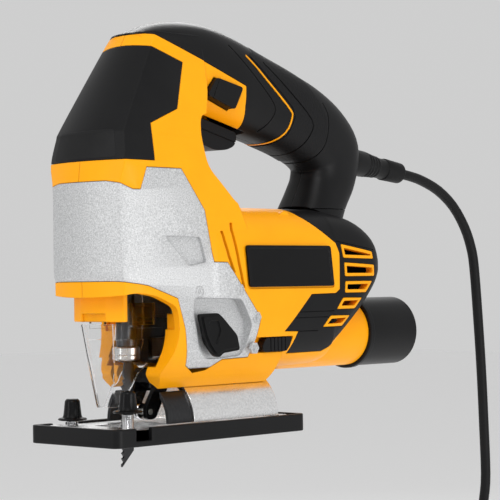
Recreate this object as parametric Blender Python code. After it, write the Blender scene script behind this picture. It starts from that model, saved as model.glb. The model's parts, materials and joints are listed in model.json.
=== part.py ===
"""Corded pendulum jigsaw with a D-handle, as an assembly of separate pieces.

Frame: origin at the centre of the sole's underside, +X to the rear (dust port), +Y to the
user's right when sawing, +Z up.  All sizes below are millimetres, turned into metres by MM.
"""
import math

import bmesh
import bpy
from mathutils import Matrix, Vector

MM = 0.001
GAP = 0.3                       # clearance between neighbouring pieces
WALL = 3.0                      # moulded wall thickness

# Sole and bevel quadrant
SOLE_LENGTH, SOLE_WIDTH, SOLE_TOP = 147.0, 69.0, 9.7
SHOE_FLOOR = 2.5
RIM = 3.0
BEVEL_Z = 9.5                   # the bevel axis runs along X at this height
SADDLE_R, SADDLE_T = 25.8, 2.0
SADDLE_X = (-26.0, 59.0)
FENCE_X = -53.4                 # the fence bar's slot and its two clamp screws
FENCE_Y = 22.0

# Blade, clamp and plunger
BLADE_FRONT, BLADE_BACK, BLADE_T = -38.0, -29.5, 1.3
BLADE_TIP_Z, BLADE_TOP_Z = -13.9, 60.0
PLUNGER_X = -33.7
PLUNGER_R = 4.5
CLAMP_R = 5.6
COLLAR_R, COLLAR_Z = 7.2, (43.6, 51.0)

# Motor and gear
MOTOR_Z = 90.0
SHAFT_R = 3.5
PINION_R, GEAR_R = 4.6, 21.2
GEAR_Z = MOTOR_Z + PINION_R + GEAR_R + 0.4
GEAR_X = (-6.0, 2.0)
STATOR_X = (44.0, 92.0)

# Dust port, body end
PORT_Z, PORT_R, PORT_BORE, PORT_END = 53.5, 20.8, 17.0, 194.0
BODY_REAR = 147.0

# Mains lead
CORD_D = 6.5
BOOT_END = (203.5, 152.2)
COIL_R, COIL_CENTRE = 36.0, (255.0, 0.0, -118.0)

YELLOW = ((1.0, 0.42, 0.01), 0.42, 0.0)
BLACK = ((0.022, 0.022, 0.024), 0.55, 0.0)
SOFT_BLACK = ((0.018, 0.018, 0.02), 0.75, 0.0)
CAST = ((0.62, 0.63, 0.65), 0.45, 0.9)
STEEL = ((0.55, 0.56, 0.58), 0.3, 1.0)
DARK_STEEL = ((0.12, 0.12, 0.13), 0.4, 0.9)
COPPER = ((0.72, 0.34, 0.16), 0.35, 1.0)
BRASS = ((0.75, 0.58, 0.25), 0.35, 1.0)
CLEAR = ((0.85, 0.9, 0.92), 0.08, 0.0)
WHITE = ((0.85, 0.85, 0.85), 0.5, 0.0)


# ---------------------------------------------------------------- scene helpers
def clear_scene():
    for obj in list(bpy.data.objects):
        bpy.data.objects.remove(obj, do_unlink=True)


def collection(name):
    made = bpy.data.collections.new(name)
    bpy.context.scene.collection.children.link(made)
    return made


clear_scene()
PARTS = collection("jigsaw")
GUIDES = collection("cutters")


def material(name, look):
    found = bpy.data.materials.get(name)
    if found:
        return found
    colour, rough, metal = look
    made = bpy.data.materials.new(name)
    made.use_nodes = True
    shader = made.node_tree.nodes["Principled BSDF"]
    shader.inputs["Base Color"].default_value = (*colour, 1.0)
    shader.inputs["Roughness"].default_value = rough
    shader.inputs["Metallic"].default_value = metal
    return made


def from_bmesh(bm, name):
    bmesh.ops.recalc_face_normals(bm, faces=bm.faces)
    mesh = bpy.data.meshes.new(name)
    bm.to_mesh(mesh)
    bm.free()
    made = bpy.data.objects.new(name, mesh)
    GUIDES.objects.link(made)
    made.hide_render = True
    made.display_type = "WIRE"
    return made


def prism(points, low, high, axis="Y", name="cutter"):
    """A flat outline pushed along an axis; points are (x, z), (x, y) or (y, z) for Y, Z or X."""
    place = {"Y": lambda a, b, c: (a, c, b), "Z": lambda a, b, c: (a, b, c),
             "X": lambda a, b, c: (c, a, b)}[axis]
    bm = bmesh.new()
    ring = [bm.verts.new(Vector(place(a, b, low)) * MM) for a, b in points]
    face = bm.faces.new(ring)
    pushed = bmesh.ops.extrude_face_region(bm, geom=[face])
    moved = [v for v in pushed["geom"] if isinstance(v, bmesh.types.BMVert)]
    shift = Vector(place(0.0, 0.0, high - low)) * MM
    bmesh.ops.translate(bm, verts=moved, vec=shift)
    return from_bmesh(bm, name)


def box(x, y, z, name="cutter"):
    bm = bmesh.new()
    bmesh.ops.create_cube(bm, size=1.0)
    centre = Vector((sum(x), sum(y), sum(z))) * 0.5 * MM
    size = Vector((x[1] - x[0], y[1] - y[0], z[1] - z[0])) * MM
    bmesh.ops.scale(bm, verts=bm.verts, vec=size)
    bmesh.ops.translate(bm, verts=bm.verts, vec=centre)
    return from_bmesh(bm, name)


def rod(start, end, radius, radius_end=None, sides=20, name="cutter"):
    """A cylinder or cone between two points."""
    a, b = Vector(start) * MM, Vector(end) * MM
    bm = bmesh.new()
    bmesh.ops.create_cone(bm, cap_ends=True, segments=sides, radius1=radius * MM,
                          radius2=(radius if radius_end is None else radius_end) * MM,
                          depth=(b - a).length)
    turn = (b - a).to_track_quat("Z", "Y").to_matrix().to_4x4()
    bmesh.ops.transform(bm, matrix=Matrix.Translation((a + b) / 2) @ turn, verts=bm.verts)
    return from_bmesh(bm, name)


def turned(profile, centre, axis="X", sides=24, name="cutter"):
    """A profile of (along, radius) pairs turned about an axis through a point."""
    bm = bmesh.new()
    rings = [bm.verts.new((radius * MM, 0.0, along * MM)) for along, radius in profile]
    edges = [bm.edges.new((rings[i], rings[(i + 1) % len(rings)])) for i in range(len(rings))]
    bmesh.ops.spin(bm, geom=rings + edges, cent=(0, 0, 0), axis=(0, 0, 1), dvec=(0, 0, 0),
                   angle=2 * math.pi, steps=sides, use_merge=True, use_duplicate=False)
    bmesh.ops.remove_doubles(bm, verts=bm.verts, dist=1e-7)
    turn = {"X": Matrix.Rotation(math.pi / 2, 4, "Y"), "Y": Matrix.Rotation(-math.pi / 2, 4, "X"),
            "Z": Matrix.Identity(4)}[axis]
    bmesh.ops.transform(bm, matrix=Matrix.Translation(Vector(centre) * MM) @ turn,
                        verts=bm.verts)
    return from_bmesh(bm, name)


def loft(rings, name="cutter"):
    """Closed skin through rings of points that all have the same count."""
    bm = bmesh.new()
    rows = [[bm.verts.new(Vector(p) * MM) for p in ring] for ring in rings]
    for low, high in zip(rows, rows[1:]):
        for i in range(len(low)):
            j = (i + 1) % len(low)
            bm.faces.new((low[i], low[j], high[j]))
            bm.faces.new((low[i], high[j], high[i]))
    bm.faces.new(rows[0])
    bm.faces.new(rows[-1])
    return from_bmesh(bm, name)


def boolean(target, cutter, operation, keep=False):
    """Apply one boolean.  The bowed, lofted casings come out empty from EXACT, so this is
    MANIFOLD; every shape here is closed, as it needs."""
    mod = target.modifiers.new("cut", "BOOLEAN")
    mod.operation = operation
    mod.object = cutter
    mod.solver = "MANIFOLD"
    graph = bpy.context.evaluated_depsgraph_get()
    graph.update()
    mesh = bpy.data.meshes.new_from_object(target.evaluated_get(graph))
    target.modifiers.remove(mod)
    old = target.data
    target.data = mesh
    bpy.data.meshes.remove(old)
    if not keep:
        bpy.data.objects.remove(cutter, do_unlink=True)
    return target


def cut(target, *cutters, keep=False):
    for cutter in cutters:
        boolean(target, cutter, "DIFFERENCE", keep)
    return target


def join(target, *others):
    for other in others:
        boolean(target, other, "UNION")
    return target


def within(target, cutter, keep=False):
    return boolean(target, cutter, "INTERSECT", keep)


def copy_of(obj):
    made = obj.copy()
    made.data = obj.data.copy()
    GUIDES.objects.link(made)
    return made


def finish(obj, name, look_name, look, smooth=35.0):
    """Turn a worked shape into a named piece."""
    keep_largest(obj)
    obj.name = name
    obj.data.name = name
    obj.hide_render = False
    obj.display_type = "TEXTURED"
    GUIDES.objects.unlink(obj)
    PARTS.objects.link(obj)
    obj.data.materials.clear()
    obj.data.materials.append(material(look_name, look))
    obj.data.shade_smooth()
    obj.data.set_sharp_from_angle(angle=math.radians(smooth))
    return obj


def keep_largest(obj):
    """Drop the slivers that a cut leaves beside the piece itself."""
    bm = bmesh.new()
    bm.from_mesh(obj.data)
    left, groups = set(bm.verts), []
    while left:
        stack, group = [left.pop()], []
        while stack:
            vert = stack.pop()
            group.append(vert)
            for edge in vert.link_edges:
                other = edge.other_vert(vert)
                if other in left:
                    left.discard(other)
                    stack.append(other)
        groups.append(group)
    groups.sort(key=len, reverse=True)
    loose = [vert for group in groups[1:] for vert in group]
    bmesh.ops.delete(bm, geom=loose, context="VERTS")
    bmesh.ops.remove_doubles(bm, verts=bm.verts, dist=0.0002 * MM)
    bmesh.ops.dissolve_degenerate(bm, edges=bm.edges, dist=0.0002 * MM)
    bm.to_mesh(obj.data)
    bm.free()
    return obj


def inset(points, distance):
    """An outline moved inwards (outwards when negative) by a distance, corners mitred."""
    area = sum(a[0] * b[1] - b[0] * a[1] for a, b in zip(points, points[1:] + points[:1]))
    side = 1.0 if area > 0 else -1.0
    moved = []
    for i, here in enumerate(points):
        before, after = Vector(points[i - 1]), Vector(points[(i + 1) % len(points)])
        here = Vector(here)
        d1, d2 = (here - before).normalized(), (after - here).normalized()
        n1, n2 = Vector((-d1.y, d1.x)) * side, Vector((-d2.y, d2.x)) * side
        mid = (n1 + n2) / max(0.35, 1.0 + n1.dot(n2))
        moved.append(tuple(here + mid * distance))
    return moved


def superellipse(half_a, half_b, power, count=24):
    """Points around a rounded rectangle centred on the origin."""
    out = []
    for i in range(count):
        t = 2 * math.pi * (i + 0.5) / count
        c, s = math.cos(t), math.sin(t)
        out.append((half_a * math.copysign(abs(c) ** (2 / power), c),
                    half_b * math.copysign(abs(s) ** (2 / power), s)))
    return out


# ---------------------------------------------------------------- outer body form
# Side-view outlines (x, z) of the coloured areas.  They split one body form into its casings.
COVER_AREA = [(-80.0, 149.8), (-39.0, 149.8), (-38.2, 170.0), (-17.0, 178.8), (-8.5, 205.0),
              (-38.0, 214.5), (-80.0, 214.5)]
SILVER_AREA = [(-80.0, 139.0), (-64.0, 139.0), (-55.0, 134.5), (-50.5, 134.5), (-45.5, 146.4),
               (-20.0, 146.4), (-3.0, 124.2), (3.0, 96.2), (11.5, 96.0), (37.5, 64.7),
               (32.0, 43.0), (11.5, 42.6), (1.0, 37.2), (-8.4, 36.0), (-15.7, 40.2),
               (-18.9, 59.6), (-24.8, 76.6), (-46.0, 83.5), (-62.0, 86.0), (-80.0, 86.0)]
HANDLE_AREA = [(-60.0, 219.6), (-29.0, 219.6), (42.6, 195.4), (43.0, 184.0), (46.0, 170.0),
               (44.0, 150.0), (60.0, 127.4), (170.0, 127.4), (200.0, 150.0), (200.0, 260.0),
               (-60.0, 260.0)]
REAR_AREA = [(78.5, 122.6), (102.5, 106.8), (105.0, 101.0), (104.6, 80.0),
             (101.0, 77.8), (80.0, 77.5), (57.5, 56.7), (69.0, 56.4), (63.5, 44.0),
             (94.0, 44.2), (99.5, 46.6), (146.0, 82.0), (170.0, 82.0), (170.0, 127.6),
             (74.0, 127.6)]
CHAMBER = [(-90.0, 5.0), (-27.5, 5.0), (-27.5, 28.0), (-33.0, 36.0), (-31.5, 39.5),
           (-25.5, 49.0), (-23.0, 59.0), (-25.0, 72.0), (-40.0, 78.0), (-54.0, 80.0),
           (-90.0, 72.0)]


def head_ring(z, half, front, rear, bulge=5.0):
    """Plan section of the gear head: bowed front, straight sides."""
    points = []
    steps = 8
    for i in range(steps + 1):
        t = -1.0 + 2.0 * i / steps
        points.append((front - bulge * (1.0 - t * t), half * t, z))
    return points + [(rear, half, z), (rear, -half, z)]


HEAD_RINGS = [(28.0, 18.0, -60.0, 56.0), (34.5, 24.0, -60.0, 58.0), (45.0, 29.0, -60.0, 60.0),
              (60.0, 31.0, -60.0, 60.0), (85.0, 31.4, -60.0, 44.0), (93.0, 31.4, -61.0, 40.0),
              (138.0, 30.6, -61.6, 20.0), (150.0, 30.0, -60.3, 2.0), (167.0, 26.8, -57.3, 2.0),
              (190.0, 23.2, -44.1, 8.0), (213.0, 19.6, -30.5, 8.0), (221.0, 17.5, -26.0, 8.0)]

# Barrel sections along X: x, half width, top, bottom
BARREL_RINGS = [(-10.0, 27.0, 122.0, 46.0), (4.0, 32.4, 126.2, 39.0), (16.0, 34.0, 127.2, 36.2),
                (92.0, 34.0, 127.2, 36.2), (104.0, 34.0, 127.0, 41.0), (126.0, 33.8, 123.0, 60.0),
                (139.0, 32.6, 115.0, 74.5), (146.0, 29.0, 104.0, 84.0)]

# Handle bar sections: centre x, z, half height, half width, slope of the path in degrees
BAR_RINGS = [(-27.0, 208.0, 13.5, 15.5, 20.0), (-9.0, 205.5, 22.5, 19.0, 8.0),
             (12.0, 204.5, 25.5, 20.0, -8.0), (34.0, 200.0, 26.0, 20.0, -13.0),
             (58.0, 193.2, 25.0, 19.6, -15.0), (82.0, 186.6, 24.0, 19.5, -17.0),
             (104.0, 179.6, 23.4, 19.3, -21.0), (122.0, 170.5, 22.6, 18.6, -36.0),
             (131.5, 159.5, 22.4, 17.6, -66.0), (129.5, 145.5, 19.8, 16.6, -96.0),
             (123.0, 134.0, 17.4, 17.2, -114.0), (116.0, 121.0, 17.4, 19.0, -118.0)]


def bar_ring(x, z, half_height, half_width, slope, power=2.7, count=20):
    angle = math.radians(slope)
    up = (-math.sin(angle), math.cos(angle))
    return [(x + up[0] * b, a, z + up[1] * b)
            for a, b in superellipse(half_width, half_height, power, count)]


def barrel_ring(x, half, top, bottom, power=3.6, count=28):
    middle, half_height = (top + bottom) / 2, (top - bottom) / 2
    return [(x, a, middle + b) for a, b in superellipse(half, half_height, power, count)]


def head_form(shrink=0.0):
    rings = [(z, w - shrink, x + shrink, r) for z, w, x, r in HEAD_RINGS]
    return loft([head_ring(*r) for r in rings])


def barrel_form(shrink=0.0):
    rings = [(x, w - shrink, t - shrink, b + shrink) for x, w, t, b in BARREL_RINGS]
    return loft([barrel_ring(*r) for r in rings])


def bar_form(shrink=0.0):
    rings = [(x, z, h - shrink, w - shrink, s) for x, z, h, w, s in BAR_RINGS]
    return loft([bar_ring(*r) for r in rings])


def body_form():
    """The whole outer body as one solid, before it is split into casings."""
    form = head_form()
    cut(form, prism(CHAMBER, -60.0, 60.0))
    # the column narrows behind the trigger into the D opening
    cut(form, prism([(23.7, 127.4), (13.0, 137.0), (0.5, 148.0), (-1.5, 165.0), (0.5, 178.0),
                     (60.0, 166.0), (90.0, 127.4)], -60.0, 60.0))
    join(form, barrel_form(), rod((70.0, 0.0, PORT_Z), (BODY_REAR, 0.0, PORT_Z), 20.0, sides=32),
         bar_form())
    cut(form, seat_cut())
    return form


def seat_cut():
    """The hollow under the body that the bevel quadrant turns in."""
    return rod((-60.0, 0.0, BEVEL_Z), (80.0, 0.0, BEVEL_Z), SADDLE_R + 0.4, sides=48)


def inner_form():
    """Everything hollow inside the casings."""
    form = box((-58.0, 6.0), (-26.8, 26.8), (90.0, 147.0))
    barrel = barrel_form(WALL)
    within(barrel, box((2.0, 141.0), (-40.0, 40.0), (0.0, 200.0)))
    cut(barrel, box((-20.0, 62.0), (-40.0, 40.0), (0.0, 60.0)))
    handle = bar_form(WALL)
    within(handle, box((-14.0, 180.0), (-40.0, 40.0), (110.0, 300.0)))
    column = box((-34.0, -5.0), (-18.0, 18.0), (140.0, 196.0))
    duct = box((-10.0, 64.0), (-10.0, 10.0), (43.0, 56.0))
    mouth = rod((60.0, 0.0, PORT_Z), (170.0, 0.0, PORT_Z), PORT_BORE, sides=32)
    nose = box((-59.0, -22.0), (-26.8, 26.8), (60.0, 84.6))
    chamber = join(box((-40.0, -5.0), (-20.0, 20.0), (40.0, 84.6)),
                   box((-40.0, -5.0), (-14.0, 14.0), (20.0, 40.5)))
    plunger_room = box((-49.0, -20.0), (-14.0, 14.0), (140.0, 170.0))
    low_side = box((0.0, 36.0), (-24.6, 24.6), (60.0, 92.0))
    return join(form, barrel, handle, column, duct, mouth, nose, chamber, plunger_room,
                low_side)


def split_halves(shape, left_name, right_name, look_name, look, screws):
    """Cut a casing at the mid-plane and drill both halves for their screws."""
    for x, z, reach in screws:
        join(shape, rod((x, -reach, z), (x, reach, z), 4.6, sides=16))
        cut(shape, rod((x, -16.0, z), (x, 60.0, z), 1.9, sides=12),
            rod((x, 9.0, z), (x, 60.0, z), 3.6, sides=16))
    right = copy_of(shape)
    cut(shape, box((-200.0, 300.0), (-GAP / 2, 100.0), (-50.0, 300.0)))
    cut(right, box((-200.0, 300.0), (-100.0, GAP / 2), (-50.0, 300.0)))
    finish(shape, left_name, look_name, look)
    finish(right, right_name, look_name, look)


BODY = body_form()
HOLLOW = inner_form()
BODY_LIMIT = copy_of(BODY)
# Screws that hold each pair of halves: x, z, half length of the boss
HOUSING_SCREWS = [(-12.0, 160.0, 20.0), (27.0, 120.4, 24.5), (68.0, 120.4, 24.5),
                  (49.0, 60.0, 31.5)]
HANDLE_SCREWS = [(66.0, 184.0, 17.6), (125.0, 160.0, 16.2)]


# ---------------------------------------------------------------- casings
def area_cut(area, grow=0.0):
    return prism(inset(area, -grow), -70.0, 70.0)


def make_gear_housing():
    """Cast aluminium gear case with side plates that run down to the bevel seat."""
    case = within(copy_of(BODY), area_cut(SILVER_AREA, -GAP))
    cut(case, box((-58.0, 8.0), (-26.8, 26.8), (90.0, 160.0)),
        box((-40.0, 60.0), (-26.4, 26.4), (30.0, 98.0)))
    floor = box((-61.0, -24.0), (-27.2, 27.2), (86.6, 90.6))
    join(case, within(floor, copy_of(BODY_LIMIT)))
    cut(case, rod((PLUNGER_X, 0, 80), (PLUNGER_X, 0, 96), 8.3, sides=24))
    # recess of the pendulum lever, on the left only
    px, pz = LEVER_PIVOT
    cut(case, prism(LEVER_RECESS, -40.0, -27.8), rod((px, -40.0, pz), (px, -20.0, pz), 3.4))
    return finish(case, "gear_housing", "cast_aluminium", CAST)


def make_front_cover():
    cover = within(copy_of(BODY), area_cut(COVER_AREA, -GAP))
    cut(cover, prism([(-57.0, 140.0), (10.0, 140.0), (10.0, 230.0), (-27.0, 230.0),
                      (-30.0, 210.0), (-57.0, 168.0)], -15.0, 15.0))
    return finish(cover, "front_cover", "soft_grip", SOFT_BLACK)


def make_housings():
    """Two yellow clamshell halves: front column, barrel, lower body and port boss."""
    shell = copy_of(BODY)
    cut(shell, area_cut(SILVER_AREA), area_cut(COVER_AREA), area_cut(HANDLE_AREA),
        area_cut(REAR_AREA))
    cut(shell, copy_of(HOLLOW), prism(TRIGGER_SLOT, -9.4, 9.4),
        prism(inset(LOCK_OUTLINE, -GAP), -40.0, -10.0), prism(SLIDER_RECESS, -40.0, -26.6),
        rod((30.0, 0.0, 30.0), (30.0, 0.0, 42.9), 3.0))
    for side in (-1.0, 1.0):
        for x, low, high in COOLING_SLOTS:
            slot = [(x - 4.0, high), (x - 2.0, high + 0.5), (x + 4.0, low), (x + 1.6, low)]
            cut(shell, prism(slot, *sorted((26.0 * side, 40.0 * side))))
    split_halves(shell, "housing_left", "housing_right", "yellow_plastic", YELLOW,
                 HOUSING_SCREWS)


def make_handles():
    """Soft black halves: top cap, grip and rear leg."""
    shell = within(copy_of(BODY), area_cut(HANDLE_AREA, -GAP))
    cut(shell, copy_of(HOLLOW))
    cut(shell, rod((140.0, 0.0, 160.2), (186.8, 0.0, 154.3), 8.4, sides=24),
        prism(inset(LOCK_OUTLINE, -GAP), -40.0, -10.0),
        prism(TRIGGER_SLOT, -9.4, 9.4))
    split_halves(shell, "handle_left", "handle_right", "soft_grip", SOFT_BLACK, HANDLE_SCREWS)


def make_rear_cover():
    """Black end casing round the back of the barrel, with the air intake windows."""
    cover = within(copy_of(BODY), area_cut(REAR_AREA, -GAP))
    cut(cover, copy_of(HOLLOW))
    for outline in VENTS:
        cut(cover, prism(outline, -40.0, -24.0), prism(outline, 24.0, 40.0))
    return finish(cover, "rear_cover", "black_plastic", BLACK)


def make_grille(name, side):
    """Yellow grille behind the rear cover: a back plate with framed louvre windows."""
    span = sorted((15.0 * side, 45.0 * side))
    plate = within(barrel_form(WALL + 2 * GAP), prism(GRILLE_PLATE, *span))
    frames = within(barrel_form(0.6), join(*[prism(inset(v, GAP), *span) for v in VENTS]))
    join(plate, frames)
    cut(plate, barrel_form(WALL + 2.0))
    for outline in VENTS:
        cut(plate, prism(inset(outline, 2.3), *span))
    return finish(plate, name, "yellow_plastic", YELLOW)


VENTS = [[(106.6, 106.6), (135.4, 102.2), (136.6, 97.4), (108.2, 98.0)],
         [(108.8, 95.8), (137.4, 94.4), (137.8, 87.2), (109.4, 87.2)],
         [(109.6, 84.8), (136.0, 84.8), (129.5, 77.6), (109.2, 77.6)],
         [(107.6, 75.2), (126.4, 75.0), (119.6, 68.2), (101.6, 68.2)],
         [(96.6, 65.0), (115.8, 64.8), (108.6, 58.2), (89.8, 58.2)]]
GRILLE_PLATE = [(104.0, 108.5), (133.0, 108.5), (138.0, 98.0), (138.6, 86.6), (130.0, 76.2),
                (112.0, 56.6), (88.0, 56.6), (104.0, 76.0)]
LOCK_OUTLINE = [(16.4, 198.4), (9.0, 188.2), (30.5, 181.2), (37.6, 194.0)]
TRIGGER_SLOT = [(1.0, 190.0), (-1.0, 157.0), (52.0, 157.0), (50.5, 182.0)]
SLIDER_OUTLINE = [(43.5, 53.6), (65.2, 53.6), (63.0, 48.6), (60.0, 45.6), (41.5, 45.6),
                  (40.2, 48.6)]
SLIDER_RECESS = [(31.0, 54.0), (65.8, 54.0), (63.5, 48.4), (60.3, 45.2), (31.0, 45.2)]
COOLING_SLOTS = [(13.0, 90.0, 113.0), (20.5, 81.5, 117.5)]
LEVER_PIVOT = (4.5, 57.0)
LEVER_RECESS = [(-12.4, 76.8), (21.9, 75.8), (30.5, 61.6), (26.0, 44.5), (9.0, 43.4),
                (-2.0, 43.4), (-8.0, 50.0), (-12.8, 68.5)]
LEVER_OUTLINE = [(-11.4, 68.0), (3.2, 68.3), (7.1, 65.5), (17.9, 55.9), (20.1, 47.6),
                 (6.7, 46.4), (4.3, 44.3), (0.4, 44.5), (-4.8, 50.1), (-7.8, 55.6)]
TRIGGER_OUTLINE = [(6.8, 179.4), (46.0, 169.8), (44.5, 162.5), (37.0, 159.6), (27.0, 159.4),
                   (3.6, 167.0), (3.6, 172.0)]
FORK_PIVOT = (-16.0, 34.0)
ROLLER_CENTRE, ROLLER_R = (-24.5, 15.4), 4.6
CARRIER_PIVOT = (-44.3, 143.0)


# ---------------------------------------------------------------- motor and drive
def ring(x, outer, inner, centre_z, sides=24):
    return cut(rod((x[0], 0, centre_z), (x[1], 0, centre_z), outer, sides=sides),
               rod((x[0] - 5, 0, centre_z), (x[1] + 5, 0, centre_z), inner, sides=sides))


def make_motor():
    z = MOTOR_Z
    finish(ring(STATOR_X, 24.5, 16.6, z, 32), "motor_stator", "steel_laminations", DARK_STEEL)
    core = rod((1.0, 0, z), (124.0, 0, z), SHAFT_R)
    join(core, rod((-6.0, 0, z), (2.0, 0, z), PINION_R),
         rod((46, 0, z), (90, 0, z), 15.6, sides=28), rod((96, 0, z), (108, 0, z), 8.6))
    finish(core, "armature", "copper", COPPER)
    fan = join(rod((27.0, 0, z), (29.0, 0, z), 23.6, sides=28),
               rod((26.0, 0, z), (38.6, 0, z), 6.5))
    blades = []
    for i in range(9):
        blade = box((28.5, 38.0), (6.0, 23.0), (z - 0.7, z + 0.7))
        turn = Matrix.Rotation(2 * math.pi * i / 9, 4, "X")
        centre = Matrix.Translation((0.0, 0.0, z * MM))
        blade.data.transform(centre @ turn @ centre.inverted())
        blades.append(blade)
    join(fan, *blades)
    cut(fan, rod((20, 0, z), (45, 0, z), SHAFT_R + GAP))
    finish(fan, "cooling_fan", "black_plastic", BLACK)
    finish(ring((12.5, 19.5), 11.0, SHAFT_R + GAP, z), "front_bearing", "bearing_steel", STEEL)
    finish(ring((114.0, 121.0), 9.5, SHAFT_R + GAP, z), "rear_bearing", "bearing_steel", STEEL)
    for name, side in (("brush_holder_left", -1.0), ("brush_holder_right", 1.0)):
        holder = box((97.5, 106.5), sorted((9.2 * side, 24.0 * side)), (z - 4.5, z + 4.5))
        finish(holder, name, "brass", BRASS)


def make_gear_train():
    plate = join(box((8.4, 12.2), (-20.0, 20.0), (76.0, 118.0)),
                 rod((8.8, 0, GEAR_Z), (12.6, 0, GEAR_Z), 7.0))
    cut(plate, rod((0, 0, GEAR_Z), (20, 0, GEAR_Z), 4.3),
        rod((0, 0, MOTOR_Z), (20, 0, MOTOR_Z), 6.0))
    finish(plate, "bearing_plate", "cast_aluminium", CAST)
    finish(rod((-12.0, 0, GEAR_Z), (12.2, 0, GEAR_Z), 4.0), "gear_spindle", "gear_steel",
           DARK_STEEL)
    gear = ring(GEAR_X, GEAR_R, 4.3, GEAR_Z, 40)
    crank = rod((-23.5, 9.0, GEAR_Z), (-5.0, 9.0, GEAR_Z), 3.0)
    finish(join(gear, crank), "crank_gear", "gear_steel", DARK_STEEL)


def make_plunger():
    x = PLUNGER_X
    frame = box((-47.4, -41.2), (-5.5, 5.5), (91.2, 147.0))
    for low, high in ((91.2, 98.0), (139.0, 147.0)):
        join(frame, rod((x, 0, low), (x, 0, high), 8.0, sides=24))
    cut(frame, rod((x, 0, 80), (x, 0, 160), PLUNGER_R + GAP, sides=24),
        rod((CARRIER_PIVOT[0], -10, CARRIER_PIVOT[1]), (CARRIER_PIVOT[0], 10, CARRIER_PIVOT[1]),
            2.3))
    finish(frame, "plunger_guide", "gear_steel", DARK_STEEL)
    pin = rod((CARRIER_PIVOT[0], -26.4, CARRIER_PIVOT[1]),
              (CARRIER_PIVOT[0], 26.4, CARRIER_PIVOT[1]), 2.0)
    finish(pin, "guide_pivot_pin", "gear_steel", DARK_STEEL)
    plunger = rod((x, 0, 64.2), (x, 0, 153.0), PLUNGER_R, sides=24)
    yoke = cut(box((-33.0, -24.0), (-15.5, 15.5), (108.7, 123.7)),
               box((-28.6, -20.0), (-12.5, 12.5), (112.7, 119.7)))
    finish(join(plunger, yoke), "plunger", "gear_steel", DARK_STEEL)


def make_blade_and_clamp():
    x = PLUNGER_X
    clamp = join(rod((x, 0, 51.3), (x, 0, 63.9), CLAMP_R, sides=24),
                 rod((x, 0, 42.6), (x, 0, 52.0), 4.9, sides=24))
    cut(clamp, box((-37.6, -29.8), (-1.0, 1.0), (30.0, 60.4)))
    finish(clamp, "blade_clamp", "dark_steel", DARK_STEEL)
    collar = cut(rod((x, 0, COLLAR_Z[0]), (x, 0, COLLAR_Z[1]), COLLAR_R, sides=32),
                 rod((x, 0, 30), (x, 0, 60), 5.2, sides=32))
    finish(collar, "clamp_collar", "brushed_steel", STEEL)
    pitch, depth, count = 3.0, 1.3, 16
    outline = [(BLADE_FRONT, BLADE_TIP_Z)]
    for i in range(count):
        z = BLADE_TIP_Z + 1.5 + i * pitch
        outline += [(BLADE_FRONT, z), (BLADE_FRONT + depth, z + 0.9)]
    top = BLADE_TIP_Z + 1.5 + count * pitch
    outline += [(BLADE_FRONT, top), (-37.2, 41.5), (-37.2, BLADE_TOP_Z), (-30.2, BLADE_TOP_Z),
                (-30.2, 41.5), (BLADE_BACK, 40.0), (BLADE_BACK, -5.4)]
    finish(prism(outline, -BLADE_T / 2, BLADE_T / 2), "blade", "blade_steel", DARK_STEEL)


def make_roller():
    px, pz = FORK_PIVOT
    rx, rz = ROLLER_CENTRE
    arm = [(-21.0, 38.6), (-10.2, 38.6), (-10.2, 30.0), (-14.5, 22.5), (-21.0, 11.2),
           (-27.5, 11.2), (-28.2, 17.5), (-21.5, 28.0)]
    fork = prism(arm, -9.0, 9.0)
    cut(fork, prism([(-40.0, 0.0), (-5.0, 0.0), (-13.0, 27.0), (-19.0, 31.0), (-40.0, 31.0)],
                    -6.4, 6.4))
    cut(fork, rod((px, -20, pz), (px, 20, pz), 2.3), rod((rx, -20, rz), (rx, 20, rz), 1.8))
    finish(fork, "roller_fork", "black_steel", DARK_STEEL)
    finish(rod((px, -13.6, pz), (px, 13.6, pz), 2.0), "fork_pin", "gear_steel", STEEL)
    finish(rod((rx, -9.0, rz), (rx, 9.0, rz), 1.5), "roller_pin", "gear_steel", STEEL)
    wheel = turned([(-2.6, 1.8), (-2.6, ROLLER_R), (-0.8, ROLLER_R), (-0.8, 3.7), (0.8, 3.7),
                    (0.8, ROLLER_R), (2.6, ROLLER_R), (2.6, 1.8)], (rx, 0, rz), "Y")
    finish(wheel, "guide_roller", "bearing_steel", STEEL)
    liner = cut(box((-9.2, -6.4), (-19.6, 19.6), (41.0, 66.0)),
                box((-15.0, 0.0), (-9.0, 9.0), (43.0, 56.0)))
    finish(liner, "chamber_liner", "black_plastic", BLACK)


def guard_ring(z, front, rear, half):
    """Plan section of the clear guard, with a rounded nose."""
    points = []
    for i in range(9):
        t = -1.0 + 2.0 * i / 8
        points.append((front + 5.0 * abs(t) ** 3.0, half * t, z))
    return points + [(rear, half, z), (rear, -half, z)]


GUARD_RINGS = [(19.0, -53.0, -45.0, 6.6), (27.0, -54.4, -39.0, 7.8), (39.0, -56.4, -30.0, 9.4),
               (48.0, -58.0, -14.0, 10.8), (63.6, -60.4, -10.6, 12.8)]


def make_guard():
    """Snap-on clear shield round the blade, open at the back, top and bottom."""
    outer = loft([guard_ring(*r) for r in GUARD_RINGS])
    tops = [box((-48.6, -10.6), (-12.8, 12.8), (61.0, 79.0))]
    join(outer, *tops)
    inner = [(z + e, f + 1.6, r + 5.0, h - 1.6) for (z, f, r, h), e in
             zip(GUARD_RINGS, (-1.0, 0.0, 0.0, 0.0, 1.0))]
    cut(outer, loft([guard_ring(*r) for r in inner]),
        box((-52.0, 0.0), (-11.2, 11.2), (55.0, 90.0)))
    finish(outer, "blade_guard", "clear_plastic", CLEAR)
    chin = [(-50.6, -20.0), (-53.5, -19.8), (-57.0, -10.0), (-58.4, 0.0), (-57.0, 10.0),
            (-53.5, 19.8), (-50.6, 20.0)]
    finish(prism(chin, 64.6, 84.2, "Z"), "nose_cover", "yellow_plastic", YELLOW)


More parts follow.
